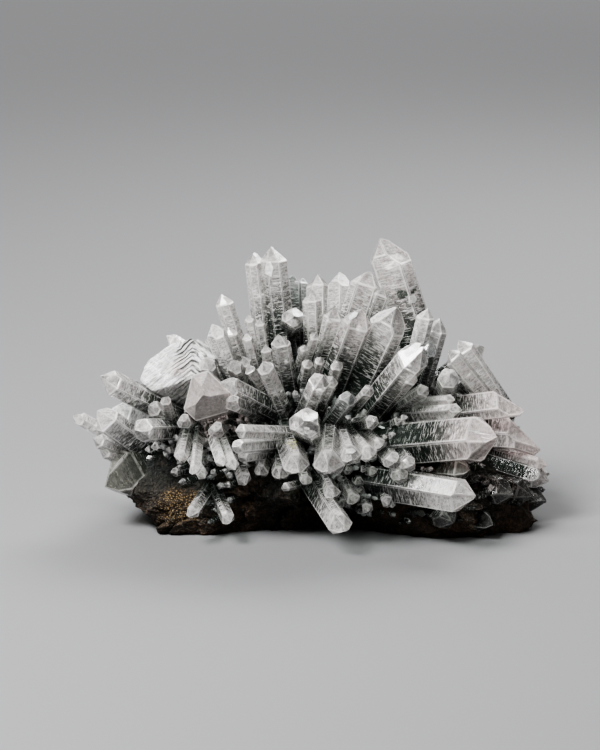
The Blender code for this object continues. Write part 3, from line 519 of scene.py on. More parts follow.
def back_points():
    """Points of the back, row by row, as they fan out from the middle of the rock, widest first."""
    tips, roots, widths, shifts, seeds = [], [], [], [], []
    for level, (rise, first, last, count, reach, width) in enumerate(BACK_ROWS):
        step = np.arange(count)
        seed = 300.0 + level * 20 + step
        heading = np.radians(first + (last - first) * (step + 0.35 * wobble(seed, 3)) / (count - 1))
        slope = np.radians(rise + 7.0 * wobble(seed, 4))
        direction = np.stack([np.cos(slope) * np.cos(heading), np.cos(slope) * np.sin(heading),
                              np.sin(slope)], axis=1)
        surface = rock_reach(direction)[:, None]
        lean = np.stack([wobble(seed, 7), wobble(seed, 8), np.full(count, 0.4)], axis=1) * 4.0
        tips.append(ROCK_CENTRE + direction * (surface + reach * (1.0 + 0.3 * wobble(seed, 6))[:, None]) + lean)
        roots.append(ROCK_CENTRE + direction * surface * BACK_ROOT_SHARE)
        widths.append(width * (1.0 + 0.28 * wobble(seed, 5)))
        shifts.append(np.stack([0.1 * wobble(seed, 9), np.zeros(count)], axis=1))
        seeds.append(seed)
    tips, roots, widths, shifts, seeds = map(np.concatenate, (tips, roots, widths, shifts, seeds))
    order = np.argsort(-widths, kind="stable")
    return [Points(tips[part], roots[part], widths[part], shifts[part], seeds[part], BACK_LOOK)
            for part in [order[i:i + 1] for i in range(BACK_PIECES)] + [order[BACK_PIECES:]]]


def tiny_solid(points):
    """Closed meshes of tiny points: a hexagonal prism whose six edges end at uneven heights, and a tip."""
    count, corner = len(points.tip), np.arange(SIDES)
    angle = 0.5 * chance(points.seed, 1)[:, None] + math.tau * (corner + 0.5) / SIDES
    radius = points.width[:, None] * 0.577 * (1.0 + 0.16 * chance(points.seed[:, None], 2 + corner))
    ring = np.stack([np.cos(angle), np.sin(angle)], axis=-1) * radius[..., None]
    shoulder = points.length[:, None] - radius * 1.27 * (1.0 + 0.3 * chance(points.seed[:, None], 9 + corner))
    shoulder = np.maximum(shoulder, 0.2)
    low = (points.root[:, None] + points.right[:, None] * ring[..., :1]
           + points.over[:, None] * ring[..., 1:])
    high = low + points.axis[:, None] * shoulder[..., None]
    vertices = np.concatenate([low, high, points.tip[:, None]], axis=1)
    depth = points.length[:, None] - np.concatenate(
        [np.zeros((count, SIDES)), shoulder, points.length[:, None]], axis=1)
    place = np.concatenate([np.tile(corner * 0.8, 2), [0.0]]) * points.width[:, None]

    after, block = (corner + 1) % SIDES, 2 * SIDES + 1
    sides = np.stack([corner, after, after + SIDES, corner + SIDES], axis=-1)
    tips = np.stack([corner + SIDES, after + SIDES, np.full(SIDES, block - 1)], axis=-1)
    return (vertices.reshape(-1, 3), copied([sides, tips, corner[::-1][None]], count, block),
            points.notes(depth, place, np.broadcast_to(PLAIN_FACET, (count, block, 3))))


def repeated(template, faces, centres, frames, sizes):
    """Copies of a small form: its vertices times the three sizes, turned into each frame and moved."""
    turned = np.einsum("vk,nk,nkj->nvj", template, sizes, frames) + centres[:, None]
    return turned.reshape(-1, 3), copied(faces, len(centres), len(template))


def joined(surfaces):
    """One surface of many: the vertices of all, and the faces counted on."""
    starts = np.cumsum([0] + [len(surface[0]) for surface in surfaces[:-1]])
    return (np.concatenate([surface[0] for surface in surfaces]),
            [group + start for surface, start in zip(surfaces, starts) for group in surface[1]])


def frames_along(axes, seeds):
    """Right-handed frames whose third direction follows the axes, turned about them at random."""
    side = unit(np.cross(axes, chances(seeds, 61) + (0.0, 0.0, 0.01)))
    return np.stack([side, np.cross(axes, side), axes], axis=1)


def spread_directions(count, salt):
    """Directions evenly over a sphere, along a spiral of golden angles, each a little out of its place."""
    step = np.arange(count)
    height = np.clip(1.0 - 2.0 * (step + 0.5 + 0.9 * chance(step, salt)) / count, -1.0, 1.0)
    heading = step * GOLDEN_ANGLE + 0.3 * chance(step, salt + 1)
    ring = np.sqrt(1.0 - height ** 2)
    return np.stack([ring * np.cos(heading), ring * np.sin(heading), height], axis=1)


def globe(rows, columns):
    """Directions of a sphere's grid with two poles, and its outward faces."""
    polar, heading = np.meshgrid(np.linspace(0.0, math.pi, rows + 1)[1:-1],
                                 math.tau * np.arange(columns) / columns, indexing="ij")
    grid = np.stack([np.sin(polar) * np.cos(heading), np.sin(polar) * np.sin(heading), np.cos(polar)], axis=-1)
    directions = np.concatenate([grid.reshape(-1, 3), [(0.0, 0.0, 1.0), (0.0, 0.0, -1.0)]])
    quads, column, after = grid_faces(rows - 1, columns)
    low, pole = (rows - 2) * columns, (rows - 1) * columns
    top = np.stack([np.full(columns, pole), column, after], axis=-1)
    bottom = np.stack([np.full(columns, pole + 1), low + after, low + column], axis=-1)
    return directions, [quads[:, [0, 3, 2, 1]], np.concatenate([top, bottom])]


# Milky block: the crest of its terraces and the middle of its rosy spot in the front view, the power that
# rounds its edges, the distance from terrace to terrace, and how deep a riser cuts
SNOW_CREST, SNOW_ROSE = (-32.0, 7.4, -6.0), (-36.0, 2.4, -10.0)
SNOW_POWER, SNOW_TERRACE, SNOW_RISER = 34.0, 1.35, 0.6


def snow_surface(rows=110, columns=220):
    """Milky block: distance to the hull's planes along each direction, blended by a high power so that its
    edges are worn round, less the risers of chevron terraces around a crest and a fine relief."""
    corners = seen(SNOW_BLOCK)
    middle = corners.mean(axis=0)
    body = bmesh.new()
    for corner in corners:
        body.verts.new(corner)
    bmesh.ops.convex_hull(body, input=body.verts[:])
    planes = np.unique(np.round([[*face.normal, face.normal.dot(face.verts[0].co - Vector(middle))]
                                 for face in body.faces], 4), axis=0)
    body.free()
    directions, faces = globe(rows, columns)
    share = np.clip(directions @ planes[:, :3].T, 0.0, None) / np.abs(planes[:, 3])
    reach = (share ** SNOW_POWER).sum(axis=1) ** (-1.0 / SNOW_POWER)
    places = middle + directions * reach[:, None]
    off = places - seen([SNOW_CREST])[0]
    roof = off @ UPWARD + 0.75 * np.abs(off[:, 0] + 0.6 * swells(places / 2.0, 64.0))
    step = roof / SNOW_TERRACE + 0.35 * swells(places / 3.0, 61.0)
    part = step - np.floor(step)
    riser = np.clip(part * 1.25, 0.0, 1.0) - np.clip((part - 0.8) * 5.0, 0.0, 1.0)
    weight = np.clip((off[:, 0] + 7.5) / 4.0, 0.05, 1.0)
    reach = (reach - SNOW_RISER * riser * weight + 0.35 * blocks(places / 2.6, 62.0) * weight
             + 0.15 * swells(places, 63.0))
    growth = np.stack([roof, off[:, 0] * 0.3, np.full(len(roof), 280.0)], axis=1)
    rosy = np.clip(1.6 - np.linalg.norm(places - seen([SNOW_ROSE])[0], axis=1) / 3.0, 0.0, 0.9)
    # Darker in the deepest part of each riser, and less milky, the more so towards the right
    cloud = -9.0 + 11.0 * weight * (part > 0.62) * (0.85 + 0.3 * swells(places / 1.7, 65.0))
    notes = {"growth": growth, "facet": np.broadcast_to(PLAIN_FACET, growth.shape),
             "habit": np.stack([cloud, 0.9 - 0.7 * weight, rosy], axis=1)}
    return middle + directions * reach[:, None], faces, notes


OCTAHEDRON = np.array([(1, 0, 0), (0, 1, 0), (-1, 0, 0), (0, -1, 0), (0, 0, 1), (0, 0, -1)], float)
OCTAHEDRON_FACES = [np.array([(0, 1, 4), (1, 2, 4), (2, 3, 4), (3, 0, 4),
                              (1, 0, 5), (2, 1, 5), (3, 2, 5), (0, 3, 5)])]


def flakes(name, finish, places, axes, seed, size, thickness):
    """Piece of flat octahedra at places, square to the axes."""
    piece(name, finish, "green_quartz", *repeated(
        OCTAHEDRON, OCTAHEDRON_FACES, places, frames_along(axes, seed),
        np.stack([size, size * 0.8, size * thickness], axis=1)), weld=0)


# Node groups and materials

class Signal:
    """What a node puts out. Sums and products of signals and numbers make Math nodes."""

    def __init__(self, socket):
        self.socket = socket

    def maths(self, operation, *others, clamp=False):
        """Output of a Math node that starts with this signal."""
        values = {f"i{count}": value for count, value in enumerate((self, *others))}
        how = {"operation": operation, "use_clamp": clamp}
        return signal(self.socket.id_data, "ShaderNodeMath", how, **values)

    def __add__(self, other):
        return self.maths("ADD", other)

    def __mul__(self, other):
        return self.maths("MULTIPLY", other)

    def ranged(self, low, high, to_low=0.0, to_high=1.0):
        """Eased from one range to another."""
        return signal(self.socket.id_data, "ShaderNodeMapRange", {"interpolation_type": "SMOOTHSTEP"},
                      i0=self, i1=low, i2=high, i3=to_low, i4=to_high)


def wired(made, **links):
    """Node with its inputs set, each given by name or, as i and a count, by place, to a signal or a value."""
    for name, value in links.items():
        socket = made.inputs[int(name[1:]) if name[1:].isdigit() else name]
        if isinstance(value, Signal):
            made.id_data.links.new(value.socket, socket)
        else:
            socket.default_value = value
    return made


def node(tree, kind, settings=None, **links):
    """New node with its properties and inputs set."""
    made = tree.nodes.new(kind)
    for name, value in (settings or {}).items():
        setattr(made, name, value)
    return wired(made, **links)


def signal(tree, kind, settings=None, put=0, **links):
    """Output of a new node."""
    return Signal(node(tree, kind, settings, **links).outputs[put])


def noise(tree, place, scale, detail, roughness, distortion=0.0):
    """Noise of a scale at a place."""
    return signal(tree, "ShaderNodeTexNoise", put="Fac", Vector=place, Scale=scale, Detail=detail,
                  Roughness=roughness, Distortion=distortion)


def vector(tree, x, y, z):
    """Three numbers as one."""
    return signal(tree, "ShaderNodeCombineXYZ", X=x, Y=y, Z=z)


def attribute(tree, name):
    """Three numbers of an attribute."""
    whole = signal(tree, "ShaderNodeAttribute", {"attribute_name": name}, "Vector")
    return [Signal(part) for part in node(tree, "ShaderNodeSeparateXYZ", Vector=whole).outputs]


def blended(tree, factor, first, second, blend="MIX"):
    """Colour mixed from two."""
    first, second = ((*value, 1.0) if isinstance(value, tuple) else value for value in (first, second))
    return signal(tree, "ShaderNodeMix", {"data_type": "RGBA", "blend_type": blend}, 2,
                  i0=factor, i6=first, i7=second)


def group(name, inputs, outputs):
    """Empty shader node group with its sockets, and what its inputs put out."""
    made = bpy.data.node_groups.new(name, "ShaderNodeTree")
    for label, value in inputs.items():
        kind, value = (FLOAT, value) if isinstance(value, float) else (COLOUR, (*value, 1.0))
        made.interface.new_socket(label, in_out="INPUT", socket_type=kind).default_value = value
    for label, kind in outputs.items():
        made.interface.new_socket(label, in_out="OUTPUT", socket_type=kind)
    take = made.nodes.new("NodeGroupInput")
    return made, *(Signal(take.outputs[label]) for label in inputs)


def grouped(tree, inner, **links):
    """Node of a group."""
    return node(tree, "ShaderNodeGroup", {"node_tree": inner}, **links)


def material(name):
    """New material, its node tree and its shader."""
    made = bpy.data.materials.new(name)
    made.use_nodes = True
    return made, made.node_tree, made.node_tree.nodes["Principled BSDF"]


def bumped(tree, strength, distance, height):
    """Normal of a surface with a relief."""
    return signal(tree, "ShaderNodeBump", Strength=strength, Distance=distance, Height=height)


FLOAT, COLOUR = "NodeSocketFloat", "NodeSocketColor"


def growth_lines():
    """Growth of a face: fine lines square to the axis and broader steps, as a height and a mask of lines."""
    tree, spacing = group("growth_lines", {"Spacing": 0.4}, {"Height": FLOAT, "Lines": FLOAT})
    depth, across, seed = attribute(tree, "growth")
    down = depth.maths("DIVIDE", spacing)
    salt = seed * 7.31
    lines = noise(tree, vector(tree, down, across * 0.38, salt), 1.0, 2.5, 0.6)
    steps = signal(tree, "ShaderNodeTexVoronoi", {"feature": "F1"}, "Distance",
                   Vector=vector(tree, down * 0.22, across * 0.3, salt), Scale=1.0)
    prism = attribute(tree, "facet")[1].ranged(0.3, -0.3, 0.15, 1.0)
    prism = prism.maths("MAXIMUM", attribute(tree, "habit")[2].ranged(0.85, 1.0, 0.0, 0.6))
    node(tree, "NodeGroupOutput", Height=prism * (steps * 0.7 + lines), Lines=lines.ranged(0.52, 0.60) * prism)
    return tree


def quartz_colour():
    """Colour of a point from its habit: dark green in the chlorite cloud at the root, with pale growth lines,
    and pale above it, in streaks square to the axis, each face a random grey to white that paints its refracted
    light, milky in wisps, rosy where the table says so and with painted white highlights along its edges."""
    tree, clear, milk_white, rose, green, lines, mottle = group(
        "quartz_colour",
        {"Clear": (0.8, 0.8, 0.8), "Milk": (0.9, 0.9, 0.9), "Rose": (0.8, 0.6, 0.6),
         "Green": (0.05, 0.07, 0.05), "Lines": 0.0, "Mottle": 0.6},
        {"Color": COLOUR, "Frost": FLOAT})
    cloud_depth, milkiness, rosiness = attribute(tree, "habit")
    between, band, _ = attribute(tree, "facet")
    depth, across, seed = attribute(tree, "growth")
    place = signal(tree, "ShaderNodeTexCoord", put="Object")
    ragged = noise(tree, place, 520.0, 4.0, 0.62)
    wisps = noise(tree, place, 260.0, 6.0, 0.72, 1.5)
    flecks = noise(tree, place, 1100.0, 3.0, 0.7, 0.6)
    streak = noise(tree, vector(tree, depth * 1.7, across * 0.8, seed * 5.7), 1.0, 5.0, 0.72, 0.5)
    # Painted refraction: each face gets a random grey to white, with the prism and the end of a side apart
    number = (across * (1.0 / SIDE_STRIDE) + 0.5).maths("FLOOR")
    side = vector(tree, number, seed, band.maths("GREATER_THAN", 0.0))
    painted_facet_tone = signal(tree, "ShaderNodeTexWhiteNoise", {"noise_dimensions": "3D"}, "Value", Vector=side)

    milk = wisps.ranged(0.42, 0.60).maths("MULTIPLY", milkiness, clamp=True)
    shade = blended(tree, painted_facet_tone, (0.46, 0.47, 0.465), (1.0, 1.0, 1.0))
    pale = blended(tree, milk, blended(tree, 1.0, clear, shade, "MULTIPLY"), milk_white)
    pale = blended(tree, rosiness * ragged.ranged(0.3, 0.6), pale, rose)
    deep = cloud_depth.ranged(-11.0, 3.0)
    thick = deep * 0.13 + streak
    marked = (deep * 0.45 + 0.55) * mottle
    for mark, low, high, weight, colour in ((thick, 0.51, 0.64, 0.92, (0.06, 0.064, 0.06)),
                                            (flecks, 0.49, 0.61, 0.62, (0.15, 0.154, 0.15)),
                                            (ragged, 0.50, 0.64, 0.6, (0.20, 0.20, 0.19))):
        pale = blended(tree, mark.ranged(low, high) * marked * weight, pale, colour)
    white = (lines * 0.7).maths("MAXIMUM", thick.ranged(0.46, 0.36) * 0.8)
    pale = blended(tree, white, pale, milk_white)

    edge = cloud_depth + (ragged * 12.0 + -6.0) + (lines * -5.0 + 1.5)
    cloud = edge.ranged(-5.0, 6.0)
    dark = blended(tree, lines * flecks.ranged(0.36, 0.6), green, (0.27, 0.285, 0.265))
    # Painted highlight: white along the edges between sides and along the prism's end, in wisps, fainter in the
    # chlorite cloud
    sides = between.maths("ABSOLUTE").ranged(0.80, 0.95)
    end = band.maths("ABSOLUTE").ranged(0.5, 0.15)
    rim = sides.maths("MAXIMUM", end) * wisps.ranged(0.30, 0.46) * (cloud * -0.6 + 1.0)
    node(tree, "NodeGroupOutput", Color=blended(tree, rim, blended(tree, cloud, pale, dark), milk_white),
         Frost=(milk * 0.6).maths("ADD", white * 0.4, clamp=True))
    return tree


def grain_colour():
    """Two colours mixed by a fine grain, and its height."""
    tree, scale, first, second = group(
        "grain", {"Scale": 900.0, "First": (0.1, 0.1, 0.1), "Second": (0.2, 0.2, 0.2)},
        {"Color": COLOUR, "Height": FLOAT})
    grain = noise(tree, signal(tree, "ShaderNodeTexCoord", put="Object"), scale, 4.0, 0.7)
    node(tree, "NodeGroupOutput", Color=blended(tree, grain.ranged(0.4, 0.65), first, second), Height=grain)
    return tree


GROWTH_LINES, QUARTZ_COLOUR, GRAIN = growth_lines(), quartz_colour(), grain_colour()
IOR, FROST_ROUGHNESS = 1.54, 0.14


def quartz(name, clear, milk, rose, green, transmission, roughness, bump, passing_colour, mottle=0.6):
    """Glass with a coloured, striated surface that lets the lamps' light through to what is behind it."""
    made, tree, shader = material(name)
    lines = grouped(tree, GROWTH_LINES)
    colour = grouped(tree, QUARTZ_COLOUR, Clear=(*clear, 1.0), Milk=(*milk, 1.0), Rose=(*rose, 1.0),
                     Green=(*green, 1.0), Mottle=mottle, Lines=Signal(lines.outputs["Lines"]))
    rough = signal(tree, "ShaderNodeMapRange", i0=Signal(colour.outputs["Frost"]), i3=roughness,
                   i4=roughness + FROST_ROUGHNESS)
    wired(shader, Roughness=rough, IOR=IOR, Normal=bumped(tree, bump, 0.0004, Signal(lines.outputs["Height"])),
          **{"Base Color": Signal(colour.outputs["Color"]), "Transmission Weight": transmission})
    mix = signal(tree, "ShaderNodeMixShader", i0=signal(tree, "ShaderNodeLightPath", put="Is Shadow Ray"),
                 i1=Signal(shader.outputs[0]),
                 i2=signal(tree, "ShaderNodeBsdfTransparent", Color=(*passing_colour, 1.0)))
    wired(tree.nodes["Material Output"], Surface=mix)
    return made


def grainy(name, first, second, scale, roughness, bump):
    """Opaque material of two mixed colours with a grainy surface."""
    made, tree, shader = material(name)
    grain = grouped(tree, GRAIN, Scale=scale, First=(*first, 1.0), Second=(*second, 1.0))
    wired(shader, Roughness=roughness, Normal=bumped(tree, bump, 0.0003, Signal(grain.outputs["Height"])),
          **{"Base Color": Signal(grain.outputs["Color"])})
    return made


def rock_finish():
    """Dark, chlorite-green to rusty brown rock, rough, with pale specks."""
    made, tree, shader = material("rock")
    place = signal(tree, "ShaderNodeTexCoord", put="Object")
    patches = noise(tree, place, 70.0, 5.0, 0.65)
    grain = noise(tree, place, 900.0, 4.0, 0.7)
    crumbs = signal(tree, "ShaderNodeTexVoronoi", put="Distance", Vector=place, Scale=1900.0)
    rusty, brownish, _ = attribute(tree, "habit")
    fleck = grain.ranged(0.42, 0.72)
    green = blended(tree, fleck, (0.006, 0.008, 0.007), (0.035, 0.042, 0.036))
    brown = blended(tree, fleck, (0.028, 0.017, 0.010), (0.12, 0.070, 0.038))
    gaps = grain * -1.1 + (crumbs + 0.55)
    rust = blended(tree, gaps.ranged(0.05, 0.6), (0.33, 0.235, 0.12), (0.03, 0.018, 0.008))
    patchy = patches.ranged(0.45, 0.6, -0.3, 0.3).maths("ADD", brownish, clamp=True)
    wired(shader, Roughness=0.62, Normal=bumped(tree, 0.8, 0.0006, grain + crumbs * 0.8),
          **{"Base Color": blended(tree, rusty, blended(tree, patchy, green, brown), rust)})
    return made


def plain_finish(name, colour, roughness):
    """Material of one colour, for the floor."""
    made, _, shader = material(name)
    wired(shader, Roughness=roughness, **{"Base Color": (*colour, 1.0)})
    return made


# The rock

# Middle and size of the rusty, granular patch of the front, across and up
RUST_PATCH, RUST_SIZE = (-36.0, -39.5), 8.5


def rust_at(places):
    """Distance from the rusty patch's middle in the front view, over its size; far away on the back."""
    off = np.linalg.norm((marks_of(places) - RUST_PATCH) / (1.0, 0.85), axis=1) / RUST_SIZE
    return off + 9.0 * (places[:, 1] > 0.0)


def bare_rock(places):
    """How bare the rock is kept at places: the rusty patch, a hollow beside it, the low front, the underside of
    the front and of the left end, and the edge of the resting face."""
    (across, up), front_side = marks_of(places).T, places[:, 1] < 0.0
    patch = np.clip(1.9 - rust_at(places), 0.0, 1.0)
    hollow = np.clip(1.5 - np.hypot((across + 40.0) / 6.0, (up + 31.5) / 7.0), 0.0, 1.0) * front_side
    front = np.clip(1.3 - places[:, 2] / 13.0, 0.0, 1.0) * front_side * (places[:, 0] < 22.0)
    low = places[:, 2] < 5.0
    belly = (np.abs(across + 5.0) < 13.0) & (up < -28.0) & front_side
    corner = (across < -42.0) & (up < -28.0) & (places[:, 1] < 8.0)
    return np.maximum(np.maximum(np.maximum(patch, hollow), front), low | belly | corner)


def rock_surface(rows=150, columns=330):
    """Rock as a globe of directions, each at the bare rock's distance plus finer breaks, cut flat below, with
    how rusty and how brown it is."""
    directions, faces = globe(rows, columns)
    reach = rock_level(directions)
    places = directions * reach[:, None]
    reach = (reach + 1.6 * blocks(places / 4.3, 20.0) + 0.8 * blocks(places / 1.9, 30.0)
             + 0.5 * swells(places, 40.0))
    points = ROCK_CENTRE + directions * reach[:, None]
    points[:, 2] = np.maximum(points[:, 2], 0.0)
    rust = np.clip((1.0 - rust_at(points)) * 2.5 + 0.8 * swells(points / 2.5, 50.0), 0.0, 1.0)
    brown = np.clip(1.2 - points[:, 2] / 22.0, 0.0, 1.0)
    return points, faces, {"habit": np.stack([rust, brown, np.zeros(len(rust))], axis=1)}


def over_rock(directions, lift):
    """Places over the rock's surface in directions from its middle."""
    return ROCK_CENTRE + directions * (rock_level(directions) + lift)[:, None]


def sprouts(ground, toward, seed, salt, stray, reach, root, width, look):
    """Small points that grow from places of the rock: their directions stray by an amount and a bias, their
    reach, width, cloud and milkiness spread as the numbers say."""
    axis = unit(toward + stray[0] * (chances(seed, salt) + stray[1]))
    length = reach[0] + reach[1] * odds(seed, salt + 3) ** reach[2]
    wide = width[0] + width[1] * length * (width[2] + width[3] * chance(seed, salt + 4))
    habit = np.stack([look[0] + look[1] * chance(seed, salt + 5), look[2] + look[3] * chance(seed, salt + 6),
                      np.zeros(len(seed))], axis=1)
    return Points(ground + axis * length[:, None], ground - axis * root, wide, (0.0, 0.0), seed, habit)


def veils_in(points, per_point):
    """Thin healed cracks across the points: lenses along each axis, tilted, each narrower than its point."""
    step = np.tile(np.arange(per_point), len(points.tip))
    which = np.repeat(np.arange(len(points.tip)), per_point)
    seed = points.seed[which] * 3.7 + step
    keep = chance(seed, 71) > -0.4
    which, seed = which[keep], seed[keep]
    root, axis, right, over, width = (values[which] for values in (
        points.root, points.axis, points.right, points.over, points.width))
    along = points.length - (points.length - points.cloud * 0.6) * 0.9
    height = along[which] + (points.length - points.width * 0.7 - along)[which] * odds(seed, 72)
    centres = (root + axis * height[:, None] + right * (0.13 * width * chance(seed, 73))[:, None]
               + over * (0.13 * width * chance(seed, 74))[:, None])
    tilt = unit(axis + 0.45 * right * chance(seed, 75)[:, None] + 0.45 * over * chance(seed, 76)[:, None])
    radius = width * (0.17 + 0.10 * chance(seed, 77))
    sizes = np.stack([radius, radius * (0.7 + 0.25 * chance(seed, 78)), np.full(len(radius), 0.03)], axis=1)
    return centres, frames_along(tilt, seed), sizes


def core_of(points):
    """Chlorite-dusted inner point of each point: three quarters of its width, up to the end of its cloud."""
    return Points(points.root + points.axis * points.cloud[:, None], points.root, points.width * 0.74,
                  (0.0, 0.0), points.seed + 0.5, points.look)


# Making

CHLORITE = grainy("chlorite", (0.012, 0.018, 0.014), (0.06, 0.075, 0.06), 900.0, 0.5, 0.7)
OCHRE = grainy("ochre", (0.13, 0.125, 0.06), (0.34, 0.33, 0.20), 900.0, 0.5, 0.5)
# Pale, grainy finish of the healed cracks, and also of the painted highlight tiles
CRACK_AND_HIGHLIGHT_FINISH = grainy("healed_cracks", (0.55, 0.55, 0.54), (0.92, 0.90, 0.89), 700.0, 0.35, 0.3)
# Quartz finishes: clear, milk, rose and green, transmission, roughness, bump, passing colour, mottle
FINISHES = {name: quartz(f"{name}_quartz", *row) for name, row in {
    "clear": ((0.80, 0.765, 0.75), (0.99, 0.96, 0.94), (0.84, 0.71, 0.69), (0.022, 0.032, 0.026),
              0.58, 0.045, 0.8, (0.60, 0.62, 0.61), 0.85),
    "milky": ((0.78, 0.76, 0.745), (0.96, 0.94, 0.925), (0.86, 0.73, 0.70), (0.04, 0.05, 0.042),
              0.38, 0.10, 0.7, (0.5, 0.5, 0.5), 0.8),
    "rosy": ((0.70, 0.665, 0.645), (0.93, 0.89, 0.87), (0.70, 0.615, 0.59), (0.022, 0.032, 0.026),
             0.48, 0.06, 0.6, (0.55, 0.5, 0.5), 0.45),
    "green": ((0.54, 0.555, 0.54), (0.80, 0.81, 0.80), (0.7, 0.6, 0.58), (0.016, 0.024, 0.019),
              0.55, 0.08, 0.6, (0.42, 0.44, 0.42)),
    "smoky": ((0.30, 0.295, 0.262), (0.56, 0.55, 0.51), (0.5, 0.45, 0.42), (0.07, 0.075, 0.065),
              0.45, 0.12, 0.6, (0.35, 0.35, 0.33)),
    "dark": ((0.16, 0.165, 0.155), (0.42, 0.42, 0.40), (0.3, 0.25, 0.22), (0.02, 0.022, 0.018),
             0.55, 0.08, 0.8, (0.3, 0.3, 0.28), 0.8),
    "snow": ((0.76, 0.75, 0.74), (0.93, 0.925, 0.92), (0.50, 0.42, 0.40), (0.10, 0.10, 0.095),
             0.15, 0.18, 0.8, (0.3, 0.3, 0.3), 1.0),
    "druse": ((0.66, 0.67, 0.66), (0.88, 0.87, 0.86), (0.8, 0.7, 0.68), (0.03, 0.04, 0.033),
              0.45, 0.08, 0.5, (0.5, 0.52, 0.5)),
}.items()}
# Slots of the finishes that have no slot of their own
SLOTS = {"dark": "smoky_quartz", "snow": "milky_quartz", "druse": "clear_quartz"}


def crystals(name, finish, surface, replaced, weld=WELD):
    """Piece of quartz in one of the finishes."""
    piece(name, FINISHES[finish], SLOTS.get(finish, f"{finish}_quartz"), *surface, replaced=replaced, weld=weld)


# Terraces and edge width of a large point
LARGE = (16, 0.16)
big, surfaces = [], []
for number, (name, (finish, rows)) in enumerate(PIECES.items()):
    points = listed(rows, 10 + 5 * number)
    big.append(points)
    vertices, faces, notes = solid_of(points, *LARGE)
    surfaces.append((vertices, faces))
    # The rosy point has no painted highlight along its side edges, and the painted refraction grey is the same
    # on all its sides
    if name == "rosy_point":
        notes["facet"] = notes["facet"] * (0.0, 1.0, 1.0)
        notes["growth"][:, 1] -= SIDE_STRIDE * np.round(notes["growth"][:, 1] / SIDE_STRIDE)
    crystals(f"{name}_quartz", finish, (vertices, faces, notes), name)

for number, points in enumerate(back_points()):
    big.append(points)
    name = f"back_point_{number + 1}" if number < BACK_PIECES else "rock"
    label = "back_small" if name == "rock" else name
    crystals(f"{label}_quartz", "clear", solid_of(points, *LARGE), name)

# Row of the milky wedge on the left among the rock's points; the dark glass of the right comes after it
WEDGE = 33
for name, finish, start, stop, look in (
        ("rock_points_quartz", "clear", 0, WEDGE, ROCK_POINT_LOOK),
        ("rock_wedge_quartz", "snow", WEDGE, WEDGE + 1, (0.1, 0.9, 0.0)),
        ("rock_glass_quartz", "dark", WEDGE + 1, len(ROCK_POINTS), ROCK_POINT_LOOK)):
    crystals(name, finish, solid_of(listed(ROCK_POINTS[start:stop], 200 + start, look), 12, 0.12), "rock")
crystals("snow_block_quartz", "snow", snow_surface(), "snow_block")
knobs = listed(SNOW_KNOBS, 280, (0.1, 0.8, 0.1))
crystals("snow_knobs_quartz", "milky", solid_of(knobs, 8, 0.12), "snow_block")
cores = joined([solid_of(core_of(points), 6, 0.0) for points in big])
piece("chlorite_cores", CHLORITE, "green_quartz", *cores)

# Points of a middling size on the back, the top and the ends

directions = spread_directions(560, 131.0)
seed = 600.0 + np.arange(len(directions))
ground = over_rock(directions, -0.8)
keep = (ground[:, 2] > 6.0) & ((ground[:, 1] > -4.0) | (np.abs(ground[:, 0]) > 48.0))
keep &= (chance(seed, 132) > -0.3) & (bare_rock(ground) < 0.5)
middling = sprouts(ground[keep], directions[keep], seed[keep], 133, (0.4, (0.0, 0.0, 0.4)),
                   (3.6, 6.0, 1.6), 1.0, (1.2, 0.24, 1.0, 0.4), (0.5, 0.2, 0.5, 0.3))
crystals("middling_points", "clear", solid_of(middling, 5, 0.10), "rock")

# Small points in the gaps of the front: boxes in the front view as left, right, low, high, and their number
GAPS = ((-18.0, -10.0, 6.0, 22.0, 26), (-5.0, 10.0, 0.0, 11.0, 30), (12.0, 36.0, -20.0, -6.0, 40),
        (30.0, 46.0, -10.0, 10.0, 26), (-48.0, -16.0, -36.0, -12.0, 90), (-12.0, 26.0, -36.0, -26.0, 50),
        (12.0, 40.0, -40.0, -28.0, 40), (-60.0, -40.0, -28.0, -14.0, 24))
seed = np.concatenate([400.0 + 100.0 * number + np.arange(box[4]) for number, box in enumerate(GAPS)])
left, right, low, high = np.repeat(np.array(GAPS)[:, :4], [box[4] for box in GAPS], axis=0).T
marks = np.stack([left + (right - left) * odds(seed, 141), low + (high - low) * odds(seed, 142)], axis=1)
depths = np.linspace(-40.0, 20.0, 90)
line = seen(np.column_stack([np.repeat(marks, len(depths), axis=0), np.tile(depths, len(marks))]))
off = line - ROCK_CENTRE
distance = np.linalg.norm(off, axis=1)
inside = (distance < rock_level(off / distance[:, None])).reshape(len(marks), -1)
ground = line.reshape(len(marks), -1, 3)[np.arange(len(marks)), inside.argmax(axis=1)]
keep = inside.any(axis=1) & (bare_rock(ground) < 0.45) & (ground[:, 2] > 4.0)
ground, seed = ground[keep], seed[keep]
fine = sprouts(ground, unit(ground - (GAP_FAN - ORIGIN)), seed, 143, (0.4, (0.0, -0.5, 0.0)),
               (3.0, 5.0, 1.5), 1.5, (0.9, 0.22, 1.0, 0.4), (0.55, 0.25, 0.5, 0.4))
crystals("gap_points", "clear", solid_of(fine, 3, 0.07), "rock")

seats = [veils_in(points, 6) for points in big if points.look[0, 2] < 0.7]
piece("healed_cracks", CRACK_AND_HIGHLIGHT_FINISH, "milky_quartz", *repeated(
    *globe(6, 8), *(np.concatenate([seat[k] for seat in seats]) for k in range(3))), smooth=True, weld=0)

